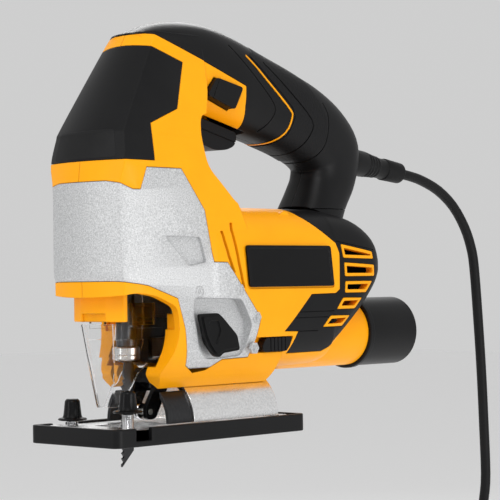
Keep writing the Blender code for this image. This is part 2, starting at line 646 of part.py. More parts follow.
# ---------------------------------------------------------------- sole
def sole_outline(margin=0.0):
    """Rounded rectangle with a slightly bowed front edge."""
    half_l, half_w, radius = SOLE_LENGTH / 2 - margin, SOLE_WIDTH / 2 - margin, 5.0
    points = []
    for cx, cy, start in ((1, 1, 0), (-1, 1, 90), (-1, -1, 180), (1, -1, 270)):
        for step in range(4):
            t = math.radians(start + 30 * step)
            points.append((cx * (half_l - radius) + radius * math.cos(t),
                           cy * (half_w - radius) + radius * math.sin(t)))
    return points


def make_sole():
    throat = ((-47.0, -11.0), (-12.0, 12.0), (-5.0, 20.0))
    shoe = prism(sole_outline(), 0.0, SOLE_TOP, "Z")
    cut(shoe, prism(sole_outline(RIM), SHOE_FLOOR, 20.0, "Z"), box(*throat))
    cut(shoe, box((-58.9, -48.0), (-50.0, -30.0), (3.0, 20.0)),
        box((-58.9, -48.0), (30.0, 50.0), (3.0, 20.0)))
    finish(shoe, "sole_shoe", "black_plastic", BLACK)
    plate = prism(sole_outline(RIM + GAP), SHOE_FLOOR + GAP, 9.2, "Z")
    cut(plate, box(*throat), box((-58.9, -48.0), (-50.0, 50.0), (3.7, 8.0)))
    for side in (-1.0, 1.0):
        cut(plate, rod((FENCE_X, FENCE_Y * side, 3), (FENCE_X, FENCE_Y * side, 12), 3.5))
    finish(plate, "sole_plate", "brushed_steel", STEEL)
    arch = join(ring((-8.0, SADDLE_X[1]), SADDLE_R, SADDLE_R - SADDLE_T, BEVEL_Z, 48),
                ring((SADDLE_X[0], -7.0), SADDLE_R - 1.4, SADDLE_R - 3.4, BEVEL_Z, 48))
    cut(arch, box((-90.0, 90.0), (-60.0, 60.0), (-60.0, BEVEL_Z)),
        box((-40.0, -8.3), (-17.5, 17.5), (0.0, 60.0)),
        box((26.4, 33.6), (-13.5, 13.5), (20.0, 50.0)))
    finish(arch, "bevel_saddle", "brushed_steel", STEEL)
    bolt = join(box((25.0, 35.0), (-7.5, 7.5), (27.5, 31.4)),
                rod((30.0, 0.0, 30.0), (30.0, 0.0, 42.5), 2.6))
    finish(bolt, "bevel_clamp_bolt", "gear_steel", DARK_STEEL)


def make_fence_screw(name, side, lift):
    x, y = FENCE_X, FENCE_Y * side
    screw = rod((x, y, 8.3), (x, y, 12.5 + lift), 3.2)
    join(screw, rod((x, y, 12.0 + lift), (x, y, 13.2 + lift), 8.0, 7.4),
         rod((x, y, 13.0 + lift), (x, y, 23.5 + lift), 5.0, 4.0, sides=12))
    finish(screw, name, "black_plastic", BLACK)


# ---------------------------------------------------------------- controls and handle parts
def make_controls():
    finish(prism(TRIGGER_OUTLINE, -8.8, 8.8), "trigger", "black_plastic", BLACK)
    finish(prism([(12.0, 189.5), (44.0, 181.0), (49.0, 198.0), (17.0, 206.5)], -8.0, 8.0),
           "switch_body", "black_plastic", BLACK)
    finish(prism(LOCK_OUTLINE, -22.6, -12.0), "lock_button", "black_plastic", BLACK)
    finish(prism(SLIDER_OUTLINE, -32.0, -26.9), "blower_slider", "black_plastic", BLACK)
    px, pz = LEVER_PIVOT
    lever = join(prism(LEVER_OUTLINE, -35.0, -31.9),
                 rod((px, -32.5, pz), (px, -28.1, pz), 8.8, sides=20),
                 rod((px, -28.4, pz), (px, -25.4, pz), 3.1))
    finish(lever, "pendulum_lever", "black_plastic", BLACK)
    suppressor = prism([(72.0, 184.0), (92.0, 178.0), (95.5, 189.0), (75.5, 195.0)], -7.0, 7.0)
    finish(suppressor, "suppressor", "white_plastic", WHITE)


def make_port_and_plate():
    port = join(rod((BODY_REAR + GAP, 0, PORT_Z), (151.5, 0, PORT_Z), 22.0, sides=64),
                rod((151.0, 0, PORT_Z), (PORT_END, 0, PORT_Z), PORT_R, sides=64))
    cut(port, rod((140.0, 0, PORT_Z), (200.0, 0, PORT_Z), PORT_BORE, sides=64))
    finish(port, "dust_port", "black_plastic", BLACK)
    plate = prism([(25.3, 105.2), (96.0, 105.2), (99.0, 82.0), (28.0, 82.0)], -35.0, -34.3)
    finish(plate, "badge_plate", "black_plastic", BLACK)


def make_screws():
    spots = [("housing_screw", spot) for spot in HOUSING_SCREWS]
    spots += [("handle_screw", spot) for spot in HANDLE_SCREWS]
    for number, (kind, (x, z, _)) in enumerate(spots, 1):
        screw = join(rod((x, -15.4, z), (x, 9.6, z), 1.6, sides=12),
                     rod((x, 9.3, z), (x, 12.3, z), 3.2, sides=16))
        finish(screw, f"{kind}_{number}", "zinc_steel", STEEL)


# ---------------------------------------------------------------- mains lead
CORD_ROUTE = [(204.2, 152.1), (215.0, 150.7), (227.0, 148.2), (243.6, 142.4), (259.0, 132.7),
              (271.0, 119.4), (278.0, 106.0), (281.4, 92.0), (284.9, 57.4), (287.6, 24.0),
              (289.4, -10.0), (290.7, -45.0), (291.0, -70.0), (291.0, -85.7)]
TAIL_ROUTE = [(291.0, -150.3), (291.0, -163.0), (291.0, -176.0)]


def smooth_route(route, spacing):
    """Points read at an even spacing from a Catmull-Rom curve through the route."""
    fine = []
    padded = [route[0]] + route + [route[-1]]
    for a, b, c, d in zip(padded, padded[1:], padded[2:], padded[3:]):
        for step in range(24):
            t = step / 24
            fine.append(tuple(0.5 * (2 * q + (r - p) * t + (2 * p - 5 * q + 4 * r - s) * t * t
                                     + (3 * q - p - 3 * r + s) * t ** 3)
                              for p, q, r, s in zip(a, b, c, d)))
    fine.append(route[-1])
    lengths = [0.0]
    for a, b in zip(fine, fine[1:]):
        lengths.append(lengths[-1] + math.dist(a, b))
    count = max(2, round(lengths[-1] / spacing))
    even, at = [], 0
    for i in range(count + 1):
        want = lengths[-1] * i / count
        while at < len(fine) - 2 and lengths[at + 1] < want:
            at += 1
        part = (want - lengths[at]) / max(1e-9, lengths[at + 1] - lengths[at])
        even.append(tuple(p + (q - p) * part for p, q in zip(fine[at], fine[at + 1])))
    return even


def make_tube(name, route):
    curve = bpy.data.curves.new(name, "CURVE")
    curve.dimensions = "3D"
    curve.bevel_depth = CORD_D / 2 * MM
    curve.bevel_resolution = 2
    curve.use_fill_caps = True
    curve.render_resolution_u = 0
    points = smooth_route(route, 2.5 * CORD_D)
    spline = curve.splines.new("POLY")
    spline.points.add(len(points) - 1)
    for point, (x, z) in zip(spline.points, points):
        point.co = (x * MM, 0.0, z * MM, 1.0)
    made = bpy.data.objects.new(name, curve)
    PARTS.objects.link(made)
    curve.materials.append(material("rubber", SOFT_BLACK))


def make_lead():
    boot = join(rod((150.0, 0, 158.94), (186.8, 0, 154.3), 8.0, 6.3, sides=24),
                rod((186.4, 0, 154.35), (BOOT_END[0], 0, BOOT_END[1]), 6.9, 6.5, sides=24))
    finish(boot, "cord_boot", "rubber", SOFT_BLACK)
    make_tube("cord", CORD_ROUTE)
    make_tube("cord_tail", TAIL_ROUTE)
    cx, _, cz = COIL_CENTRE
    side, half = 9.75, 8.1
    profile = [(-half, COIL_R - side + 3), (-half, COIL_R + side - 3), (-half + 3, COIL_R + side),
               (half - 3, COIL_R + side), (half, COIL_R + side - 3), (half, COIL_R - side + 3),
               (half - 3, COIL_R - side), (-half + 3, COIL_R - side)]
    finish(turned(profile, (cx, 0, cz), "Y", 40), "cord_coil", "rubber", SOFT_BLACK)
    tie = cut(box((cx + COIL_R - side - 1.8, cx + COIL_R + side + 1.8),
                  (-half - 1.8, half + 1.8), (cz - 4.0, cz + 4.0)),
              box((cx + COIL_R - side - 0.5, cx + COIL_R + side + 0.5),
                  (-half - 0.4, half + 0.4), (cz - 9.0, cz + 9.0)))
    finish(tie, "coil_tie", "black_plastic", BLACK)
    plug = join(rod((291.0, 0, -176.3), (291.0, 0, -196.0), 5.0, 8.5, sides=20),
                rod((291.0, 0, -195.6), (291.0, 0, -218.0), 17.5, 18.5, sides=28),
                rod((281.5, 0, -217.0), (281.5, 0, -237.0), 2.4, sides=12),
                rod((300.5, 0, -217.0), (300.5, 0, -237.0), 2.4, sides=12))
    finish(plug, "mains_plug", "black_plastic", BLACK)


def main():
    make_gear_housing()
    make_front_cover()
    make_housings()
    make_handles()
    make_rear_cover()
    make_grille("vent_grille_left", -1.0)
    make_grille("vent_grille_right", 1.0)
    make_motor()
    make_gear_train()
    make_plunger()
    make_blade_and_clamp()
    make_roller()
    make_guard()
    make_sole()
    make_fence_screw("fence_screw_left", -1.0, 5.0)
    make_fence_screw("fence_screw_right", 1.0, -0.6)
    make_controls()
    make_port_and_plate()
    make_screws()
    make_lead()
    for helper in (BODY, HOLLOW, BODY_LIMIT):
        bpy.data.objects.remove(helper, do_unlink=True)


main()
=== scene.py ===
"""Looks for the jigsaw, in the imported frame: casings, controls, saw train, sole and lead."""
import json
import math

import bmesh
import bpy
from mathutils import Matrix, Vector


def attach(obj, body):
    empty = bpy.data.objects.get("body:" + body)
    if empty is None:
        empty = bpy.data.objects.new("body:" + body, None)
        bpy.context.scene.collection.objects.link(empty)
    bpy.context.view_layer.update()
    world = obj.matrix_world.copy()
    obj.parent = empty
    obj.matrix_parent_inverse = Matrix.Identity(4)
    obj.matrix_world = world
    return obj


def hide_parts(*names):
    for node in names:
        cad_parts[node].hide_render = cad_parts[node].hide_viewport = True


MM = 0.001
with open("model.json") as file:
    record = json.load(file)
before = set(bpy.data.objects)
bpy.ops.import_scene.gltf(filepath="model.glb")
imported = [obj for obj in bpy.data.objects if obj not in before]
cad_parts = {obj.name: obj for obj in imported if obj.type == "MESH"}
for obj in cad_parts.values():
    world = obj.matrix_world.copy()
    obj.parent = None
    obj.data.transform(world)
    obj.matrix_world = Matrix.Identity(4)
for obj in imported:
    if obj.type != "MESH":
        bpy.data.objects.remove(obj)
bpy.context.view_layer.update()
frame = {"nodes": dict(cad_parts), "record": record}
ROOT = "tool"
BEVEL_Z, SEAT_R, PORT_Z, MOTOR_Z = 9.5, 26.2, 53.5, 90.0


# ---------------------------------------------------------------- camera, floor and light
def make_camera():
    data = bpy.data.cameras.new("camera")
    data.sensor_width = 36.0
    data.lens = 134.5
    cam = bpy.data.objects.new("camera", data)
    bpy.context.scene.collection.objects.link(cam)
    yaw, pitch, roll = math.radians(43.35), math.radians(0.934), math.radians(-0.767)
    ahead = Vector((math.cos(yaw) * math.cos(pitch), math.sin(yaw) * math.cos(pitch),
                    math.sin(pitch)))
    right = ahead.cross(Vector((0, 0, 1))).normalized()
    up = right.cross(ahead)
    up_r = up * math.cos(roll) - right * math.sin(roll)
    right_r = right * math.cos(roll) + up * math.sin(roll)
    turn = Matrix((right_r, up_r, -ahead)).transposed().to_4x4()
    cam.matrix_world = Matrix.Translation(Vector((-722.4, -743.2, 85.7)) * MM) @ turn
    bpy.context.scene.camera = cam


def area_light(name, place, aim, size, power, colour=(1, 1, 1)):
    data = bpy.data.lights.new(name, "AREA")
    data.shape = "RECTANGLE"
    data.size, data.size_y = size
    data.energy = power
    data.color = colour
    lamp = bpy.data.objects.new(name, data)
    bpy.context.scene.collection.objects.link(lamp)
    look = (Vector(aim) - Vector(place)).to_track_quat("-Z", "Y").to_matrix().to_4x4()
    lamp.matrix_world = Matrix.Translation(place) @ look


def make_stage():
    world = bpy.data.worlds.new("studio")
    bpy.context.scene.world = world
    world.use_nodes = True
    world.node_tree.nodes["Background"].inputs["Color"].default_value = (1, 1, 1, 1)
    world.node_tree.nodes["Background"].inputs["Strength"].default_value = 0.62
    area_light("key", (-0.9, -0.75, 1.15), (0.0, 0.0, 0.1), (0.8, 0.6), 9.0)
    area_light("fill", (0.2, -1.2, 0.0), (0.05, 0.0, 0.08), (0.5, 0.4), 3.4)
    area_light("front", (-1.3, 0.25, 0.4), (-0.02, 0.0, 0.1), (0.3, 0.9), 2.5)
    area_light("rim", (0.7, 0.7, 0.9), (0.05, 0.0, 0.15), (0.7, 0.5), 7.0)
    bm = bmesh.new()
    bmesh.ops.create_grid(bm, x_segments=1, y_segments=1, size=6.0)
    mesh = bpy.data.meshes.new("floor")
    bm.to_mesh(mesh)
    bm.free()
    floor = bpy.data.objects.new("floor", mesh)
    floor.location = (0, 0, -0.242)
    bpy.context.scene.collection.objects.link(floor)
    pale = bpy.data.materials.new("pale_floor")
    pale.use_nodes = True
    shader = pale.node_tree.nodes["Principled BSDF"]
    shader.inputs["Base Color"].default_value = (0.98, 0.98, 0.98, 1)
    shader.inputs["Roughness"].default_value = 0.8
    mesh.materials.append(pale)
    bpy.context.scene.view_settings.view_transform = "Standard"


# ---------------------------------------------------------------- materials
class Nodes:
    """Small helper to wire one material's node tree."""

    def __init__(self, name):
        self.material = bpy.data.materials.new(name)
        self.material.use_nodes = True
        self.tree = self.material.node_tree
        self.shader = self.tree.nodes["Principled BSDF"]
        self.place = self.tree.nodes.new("ShaderNodeTexCoord").outputs["Object"]

    def link(self, a, b):
        self.tree.links.new(a, b)

    def scaled(self, scale):
        node = self.tree.nodes.new("ShaderNodeMapping")
        node.inputs["Scale"].default_value = scale
        self.link(self.place, node.inputs["Vector"])
        return node.outputs["Vector"]

    def noise(self, scale, detail=3.0, vector=None, rough=0.55):
        node = self.tree.nodes.new("ShaderNodeTexNoise")
        node.inputs["Scale"].default_value = scale
        node.inputs["Detail"].default_value = detail
        node.inputs["Roughness"].default_value = rough
        self.link(vector or self.place, node.inputs["Vector"])
        return node.outputs["Fac"]

    def cells(self, scale):
        node = self.tree.nodes.new("ShaderNodeTexVoronoi")
        node.inputs["Scale"].default_value = scale
        self.link(self.place, node.inputs["Vector"])
        return node.outputs["Distance"]

    def ramp(self, fac, low, high, start=0.3, end=0.7):
        node = self.tree.nodes.new("ShaderNodeValToRGB")
        node.color_ramp.elements[0].position = start
        node.color_ramp.elements[0].color = low
        node.color_ramp.elements[1].position = end
        node.color_ramp.elements[1].color = high
        self.link(fac, node.inputs["Fac"])
        return node.outputs["Color"]

    def rough(self, fac, low, high):
        node = self.tree.nodes.new("ShaderNodeMapRange")
        node.inputs["To Min"].default_value = low
        node.inputs["To Max"].default_value = high
        self.link(fac, node.inputs["Value"])
        self.link(node.outputs["Result"], self.shader.inputs["Roughness"])

    def relief(self, heights, rounding=0.0005):
        """Bumps in turn, over edges that read as slightly rounded."""
        edge = self.tree.nodes.new("ShaderNodeBevel")
        edge.samples = 4
        edge.inputs["Radius"].default_value = rounding
        normal = edge.outputs["Normal"]
        for height, strength, distance in heights:
            node = self.tree.nodes.new("ShaderNodeBump")
            node.inputs["Strength"].default_value = strength
            node.inputs["Distance"].default_value = distance
            self.link(height, node.inputs["Height"])
            self.link(normal, node.inputs["Normal"])
            normal = node.outputs["Normal"]
        self.link(normal, self.shader.inputs["Normal"])

    def set(self, **values):
        for name, value in values.items():
            self.shader.inputs[name.replace("_", " ")].default_value = value


def tint(colour, amount):
    return tuple(min(1.0, c * amount) for c in colour) + (1.0,)


def plastic(name, colour, rough, grain=2200.0, depth=0.25, spread=0.06, rounding=0.0006):
    n = Nodes(name)
    cloud = n.noise(35.0, 4.0)
    n.link(n.ramp(cloud, tint(colour, 1 - spread), tint(colour, 1 + spread)),
           n.shader.inputs["Base Color"])
    fine = n.noise(grain, 2.0)
    n.rough(cloud, rough - 0.05, rough + 0.06)
    n.relief([(fine, depth, 0.00006)], rounding)
    n.set(Specular_IOR_Level=0.16)
    return n.material


def leather_grip(name, colour, rough, scale, depth):
    n = Nodes(name)
    cell = n.cells(scale)
    n.link(n.ramp(cell, tint(colour, 0.8), tint(colour, 1.3), 0.1, 0.6),
           n.shader.inputs["Base Color"])
    n.rough(cell, rough, rough + 0.1)
    n.relief([(cell, depth, 0.00025), (n.noise(3000.0), 0.2, 0.00005)])
    n.set(Specular_IOR_Level=0.16)
    return n.material


def metal(name, colour, rough, stretch=(1.0, 1.0, 1.0), grain=1500.0, depth=0.12, spread=0.1,
          metallic=1.0, rounding=0.0004):
    n = Nodes(name)
    along = n.scaled(stretch)
    streak = n.noise(grain, 3.0, along)
    cloud = n.noise(60.0, 3.0)
    n.link(n.ramp(streak, tint(colour, 1 - spread), tint(colour, 1 + spread)),
           n.shader.inputs["Base Color"])
    n.rough(cloud, rough - 0.05, rough + 0.08)
    n.relief([(streak, depth, 0.00005)], rounding)
    n.set(Metallic=metallic)
    return n.material


def casting(name):
    n = Nodes(name)
    grain = n.noise(1400.0, 4.0, rough=0.7)
    pits = n.cells(1100.0)
    n.link(n.ramp(grain, (0.38, 0.385, 0.39, 1), (0.74, 0.745, 0.75, 1), 0.34, 0.66),
           n.shader.inputs["Base Color"])
    n.rough(grain, 0.42, 0.62)
    n.relief([(grain, 0.5, 0.00016), (pits, 0.25, 0.0001)], 0.0009)
    n.set(Metallic=0.55)
    return n.material


def clear(name, colour, rough=0.06):
    n = Nodes(name)
    haze = n.noise(90.0, 3.0)
    n.link(n.ramp(haze, tint(colour, 0.97), tint(colour, 1.02)), n.shader.inputs["Base Color"])
    n.rough(haze, rough, rough + 0.02)
    n.relief([(n.noise(500.0), 0.05, 0.00005)], 0.0004)
    n.set(Transmission_Weight=1.0, IOR=1.3)
    return n.material


AMBER = (1.0, 0.39, 0.002)
LOOK = {
    "yellow": plastic("amber_plastic", AMBER, 0.4, 2400.0, 0.22, 0.035, 0.0008),
    "black": plastic("black_plastic", (0.0055, 0.0055, 0.006), 0.42, 2400.0, 0.35, 0.12),
    "satin": plastic("satin_black", (0.0065, 0.0065, 0.007), 0.42, 2000.0, 0.5, 0.15, 0.0009),
    "patch": plastic("patch_black", (0.011, 0.011, 0.0115), 0.55, 1200.0, 0.9, 0.3),
    "gloss": plastic("gloss_black", (0.004, 0.004, 0.0043), 0.24, 2500.0, 0.08, 0.1),
    "rubber": leather_grip("soft_rubber", (0.0055, 0.0055, 0.006), 0.5, 700.0, 0.5),
    "sheath": plastic("lead_sheath", (0.006, 0.006, 0.0063), 0.5, 1500.0, 0.3, 0.1),
    "cast": casting("cast_aluminium"),
    "steel": metal("bright_steel", (0.62, 0.62, 0.61), 0.26, (0.08, 1.0, 1.0)),
    "plate": metal("rolled_plate", (0.9, 0.9, 0.9), 0.24, (1.0, 0.06, 1.0), 900.0),
    "dark": metal("dark_steel", (0.05, 0.05, 0.052), 0.34, (1.0, 1.0, 0.2), 1200.0, 0.15),
    "blade": metal("blade_steel", (0.42, 0.42, 0.41), 0.3, (1.0, 1.0, 0.06), 2200.0, 0.2),
    "chrome": metal("bright_chrome", (0.8, 0.8, 0.81), 0.1, (1, 1, 1), 300.0, 0.02, 0.02),
    "copper": metal("winding_copper", (0.72, 0.33, 0.15), 0.35, (1.0, 0.1, 0.1), 2600.0, 0.4),
    "brass": metal("drawn_brass", (0.72, 0.54, 0.22), 0.3, (0.1, 1, 1), 1800.0),
    "clear": clear("clear_guard", (0.99, 0.99, 0.99), 0.01),
    "amber": clear("amber_guard", (1.0, 0.55, 0.08), 0.12),
    "white": plastic("white_plastic", (0.8, 0.8, 0.78), 0.4, 2400.0, 0.1, 0.02),
}
SLOT_LOOK = {"yellow_plastic": "yellow", "soft_grip": "satin", "black_plastic": "black",
             "cast_aluminium": "cast", "brushed_steel": "steel", "dark_steel": "dark",
             "copper": "copper", "brass": "brass", "clear_plastic": "clear",
             "white_plastic": "white", "cord_rubber": "sheath"}


# ---------------------------------------------------------------- mesh helpers
GUIDES = bpy.data.collections.new("cutters")
bpy.context.scene.collection.children.link(GUIDES)
SHOWN = bpy.data.collections.new("looks")
bpy.context.scene.collection.children.link(SHOWN)


def from_bmesh(bm, name="cutter"):
    bmesh.ops.recalc_face_normals(bm, faces=bm.faces)
    mesh = bpy.data.meshes.new(name)
    bm.to_mesh(mesh)
    bm.free()
    made = bpy.data.objects.new(name, mesh)
    GUIDES.objects.link(made)
    return made


def prism(points, low, high, axis="Y"):
    place = {"Y": lambda a, b, c: (a, c, b), "Z": lambda a, b, c: (a, b, c),
             "X": lambda a, b, c: (c, a, b)}[axis]
    bm = bmesh.new()
    ring = [bm.verts.new(Vector(place(a, b, low)) * MM) for a, b in points]
    face = bm.faces.new(ring)
    pushed = bmesh.ops.extrude_face_region(bm, geom=[face])
    moved = [v for v in pushed["geom"] if isinstance(v, bmesh.types.BMVert)]
    bmesh.ops.translate(bm, verts=moved, vec=Vector(place(0.0, 0.0, high - low)) * MM)
    return from_bmesh(bm)


def box(x, y, z):
    return prism([(x[0], y[0]), (x[1], y[0]), (x[1], y[1]), (x[0], y[1])], z[0], z[1], "Z")


def rod(start, end, radius, radius_end=None, sides=40):
    a, b = Vector(start) * MM, Vector(end) * MM
    bm = bmesh.new()
    bmesh.ops.create_cone(bm, cap_ends=True, segments=sides, radius1=radius * MM,
                          radius2=(radius if radius_end is None else radius_end) * MM,
                          depth=(b - a).length)
    turn = (b - a).to_track_quat("Z", "Y").to_matrix().to_4x4()
    bmesh.ops.transform(bm, matrix=Matrix.Translation((a + b) / 2) @ turn, verts=bm.verts)
    return from_bmesh(bm)


def turned(profile, start, toward, sides=48):
    """A closed (along, radius) profile turned about the line from start toward a point."""
    bm = bmesh.new()
    rings = [bm.verts.new((radius * MM, 0.0, along * MM)) for along, radius in profile]
    edges = [bm.edges.new((rings[i], rings[(i + 1) % len(rings)])) for i in range(len(rings))]
    bmesh.ops.spin(bm, geom=rings + edges, cent=(0, 0, 0), axis=(0, 0, 1), dvec=(0, 0, 0),
                   angle=2 * math.pi, steps=sides, use_merge=True, use_duplicate=False)
    bmesh.ops.remove_doubles(bm, verts=bm.verts, dist=1e-7)
    a, b = Vector(start) * MM, Vector(toward) * MM
    turn = (b - a).to_track_quat("Z", "Y").to_matrix().to_4x4()
    bmesh.ops.transform(bm, matrix=Matrix.Translation(a) @ turn, verts=bm.verts)
    return from_bmesh(bm)


def loft(rings):
    bm = bmesh.new()
    rows = [[bm.verts.new(Vector(p) * MM) for p in ring] for ring in rings]
    for low, high in zip(rows, rows[1:]):
        for i in range(len(low)):
            j = (i + 1) % len(low)
            bm.faces.new((low[i], low[j], high[j]))
            bm.faces.new((low[i], high[j], high[i]))
    bm.faces.new(rows[0])
    bm.faces.new(rows[-1])
    return from_bmesh(bm)


def boolean(target, cutter, operation, keep=False):
    mod = target.modifiers.new("cut", "BOOLEAN")
    mod.operation = operation
    mod.object = cutter
    mod.solver = "MANIFOLD"
    graph = bpy.context.evaluated_depsgraph_get()
    graph.update()
    mesh = bpy.data.meshes.new_from_object(target.evaluated_get(graph))
    target.modifiers.remove(mod)
    old = target.data
    target.data = mesh
    bpy.data.meshes.remove(old)
    if not keep:
        bpy.data.objects.remove(cutter, do_unlink=True)
    return target


def cut(target, *cutters, keep=False):
    for cutter in cutters:
        boolean(target, cutter, "DIFFERENCE", keep)
    return target


def join(target, *others):
    for other in others:
        boolean(target, other, "UNION")
    return target


def within(target, cutter, keep=False):
    return boolean(target, cutter, "INTERSECT", keep)


def copy_of(obj):
    made = obj.copy()
    made.data = obj.data.copy()
    GUIDES.objects.link(made)
    return made


def tidy(obj):
    """Drop loose slivers and doubled points left by the cuts."""
    bm = bmesh.new()
    bm.from_mesh(obj.data)
    left, groups = set(bm.verts), []
    while left:
        stack, group = [left.pop()], []
        while stack:
            vert = stack.pop()
            group.append(vert)
            for edge in vert.link_edges:
                other = edge.other_vert(vert)
                if other in left:
                    left.discard(other)
                    stack.append(other)
        groups.append(group)
    biggest = max(len(group) for group in groups)
    loose = [v for group in groups if len(group) < biggest * 0.03 + 4 for v in group]
    bmesh.ops.delete(bm, geom=loose, context="VERTS")
    bmesh.ops.remove_doubles(bm, verts=bm.verts, dist=2e-6)
    bmesh.ops.dissolve_degenerate(bm, edges=bm.edges, dist=2e-6)
    bm.to_mesh(obj.data)
    bm.free()


def show(obj, name, look, body=ROOT, stands_for=(), bevel=0.0, smooth=32.0):
    """Turn a worked shape into a shown piece on its body."""
    tidy(obj)
    obj.name = obj.data.name = name
    for holder in list(obj.users_collection):
        holder.objects.unlink(obj)
    SHOWN.objects.link(obj)
    obj.data.materials.clear()
    obj.data.materials.append(LOOK[look])
    obj.data.shade_smooth()
    obj.data.set_sharp_from_angle(angle=math.radians(smooth))
    if bevel:
        mod = obj.modifiers.new("edges", "BEVEL")
        mod.width = bevel * MM
        mod.segments = 3
        mod.limit_method = "ANGLE"
        mod.angle_limit = math.radians(32)
        mod.harden_normals = True
    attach(obj, body)
    if stands_for:
        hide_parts(*stands_for)
    return obj


def inset(points, distance):
    """An outline moved inwards (outwards when negative), corners mitred."""
    area = sum(a[0] * b[1] - b[0] * a[1] for a, b in zip(points, points[1:] + points[:1]))
    side = 1.0 if area > 0 else -1.0
    moved = []
    for i, here in enumerate(points):
        before, after = Vector(points[i - 1]), Vector(points[(i + 1) % len(points)])
        here = Vector(here)
        d1, d2 = (here - before).normalized(), (after - here).normalized()
        n1, n2 = Vector((-d1.y, d1.x)) * side, Vector((-d2.y, d2.x)) * side
        moved.append(tuple(here + (n1 + n2) / max(0.35, 1.0 + n1.dot(n2)) * distance))
    return moved


def rounded(points, radius, steps=4):
    """The outline with its corners rounded."""
    out = []
    for i, here in enumerate(points):
        here = Vector(here)
        before, after = Vector(points[i - 1]), Vector(points[(i + 1) % len(points)])
        r = min(radius, (before - here).length * 0.45, (after - here).length * 0.45)
        a, b = here + (before - here).normalized() * r, here + (after - here).normalized() * r
        for k in range(steps + 1):
            t = k / steps
            out.append(tuple(a * (1 - t) ** 2 + here * 2 * t * (1 - t) + b * t * t))
    return out


def ribbon(points, width):
    """A band of that width along an open line of points."""
    pts = [Vector(p) for p in points]
    left, right = [], []
    for i, p in enumerate(pts):
        along = (pts[min(i + 1, len(pts) - 1)] - pts[max(i - 1, 0)]).normalized()
        side = Vector((-along.y, along.x)) * width / 2
        left.append(tuple(p + side))
        right.append(tuple(p - side))
    return left + right[::-1]


def eased(rows, per=5):
    """Rows of numbers with smooth in-between rows."""
    out = []
    padded = [rows[0]] + list(rows) + [rows[-1]]
    for a, b, c, d in zip(padded, padded[1:], padded[2:], padded[3:]):
        for k in range(per):
            t = k / per
            out.append(tuple(0.5 * (2 * q + (r - p) * t + (2 * p - 5 * q + 4 * r - s) * t * t
                                    + (3 * q - p - 3 * r + s) * t ** 3)
                             for p, q, r, s in zip(a, b, c, d)))
    out.append(tuple(rows[-1]))
    return out


def superellipse(half_a, half_b, power, count):
    out = []
    for i in range(count):
        t = 2 * math.pi * (i + 0.5) / count
        c, s = math.cos(t), math.sin(t)
        out.append((half_a * math.copysign(abs(c) ** (2 / power), c),
                    half_b * math.copysign(abs(s) ** (2 / power), s)))
    return out


# ---------------------------------------------------------------- body form
COVER_AREA = [(-80.0, 149.8), (-39.0, 149.8), (-38.2, 170.0), (-17.0, 178.8), (-8.5, 205.0),
              (-38.0, 214.5), (-80.0, 214.5)]
SILVER_AREA = [(-80.0, 139.0), (-64.0, 139.0), (-55.0, 134.5), (-50.5, 134.5), (-45.5, 146.4),
               (-20.0, 146.4), (-3.0, 124.2), (3.0, 96.2), (11.5, 96.0), (37.5, 64.7),
               (32.0, 43.0), (11.5, 42.6), (1.0, 37.2), (-8.4, 36.0), (-15.7, 40.2),
               (-18.9, 59.6), (-24.8, 76.6), (-46.0, 83.5), (-62.0, 86.0), (-80.0, 86.0)]
HANDLE_AREA = [(-60.0, 219.6), (-29.0, 219.6), (42.6, 195.4), (43.0, 184.0), (46.0, 170.0),
               (44.0, 150.0), (60.0, 127.4), (170.0, 127.4), (200.0, 150.0), (200.0, 260.0),
               (-60.0, 260.0)]
REAR_AREA = [(78.5, 122.6), (102.5, 106.8), (105.0, 101.0), (104.6, 80.0), (101.0, 77.8),
             (80.0, 77.5), (57.5, 56.7), (69.0, 56.4), (63.5, 44.0), (94.0, 44.2),
             (99.5, 46.6), (146.0, 82.0), (170.0, 82.0), (170.0, 127.6), (74.0, 127.6)]
CHAMBER = [(-90.0, 5.0), (-27.5, 5.0), (-27.5, 28.0), (-33.0, 36.0), (-31.5, 39.5),
           (-25.5, 49.0), (-23.0, 59.0), (-25.0, 72.0), (-40.0, 78.0), (-54.0, 80.0),
           (-90.0, 72.0)]
# Gear head sections by height: z, half width, front x, rear x, corner chamfer
HEAD_RINGS = [(28.0, 18.0, -60.0, 56.0, 1.0), (34.5, 24.0, -60.0, 58.0, 1.0),
              (45.0, 29.0, -60.0, 60.0, 1.0), (60.0, 31.0, -60.0, 60.0, 1.0),
              (85.0, 31.4, -60.0, 44.0, 1.0), (93.0, 31.4, -61.0, 40.0, 1.0),
              (134.0, 30.7, -61.6, 20.0, 1.0), (149.0, 30.0, -60.4, 2.0, 0.16),
              (163.0, 27.6, -58.4, 2.0, 0.12), (167.5, 26.7, -57.0, 2.0, 0.12),
              (190.0, 23.2, -44.1, 8.0, 0.12), (213.0, 19.6, -30.5, 8.0, 0.12),
              (221.0, 17.5, -26.0, 8.0, 0.12)]
BARREL_RINGS = [(-10.0, 27.0, 122.0, 46.0), (4.0, 32.4, 126.2, 39.0), (16.0, 34.0, 127.2, 36.2),
                (92.0, 34.0, 127.2, 36.2), (104.0, 34.0, 127.0, 41.0), (126.0, 33.8, 123.0, 60.0),
                (139.0, 32.6, 115.0, 74.5), (146.0, 29.0, 104.0, 84.0)]
BAR_RINGS = [(-27.0, 208.0, 13.5, 15.5, 20.0), (-9.0, 205.5, 22.5, 19.0, 8.0),
             (12.0, 204.5, 25.5, 20.0, -8.0), (34.0, 200.0, 26.0, 20.0, -13.0),
             (58.0, 193.2, 25.0, 19.6, -15.0), (82.0, 186.6, 24.0, 19.5, -17.0),
             (104.0, 179.6, 23.4, 19.3, -21.0), (122.0, 170.5, 22.6, 18.6, -36.0),
             (131.5, 159.5, 22.4, 17.6, -66.0), (129.5, 145.5, 19.8, 16.6, -96.0),
             (123.0, 134.0, 17.4, 17.2, -114.0), (116.0, 121.0, 17.4, 19.0, -118.0)]


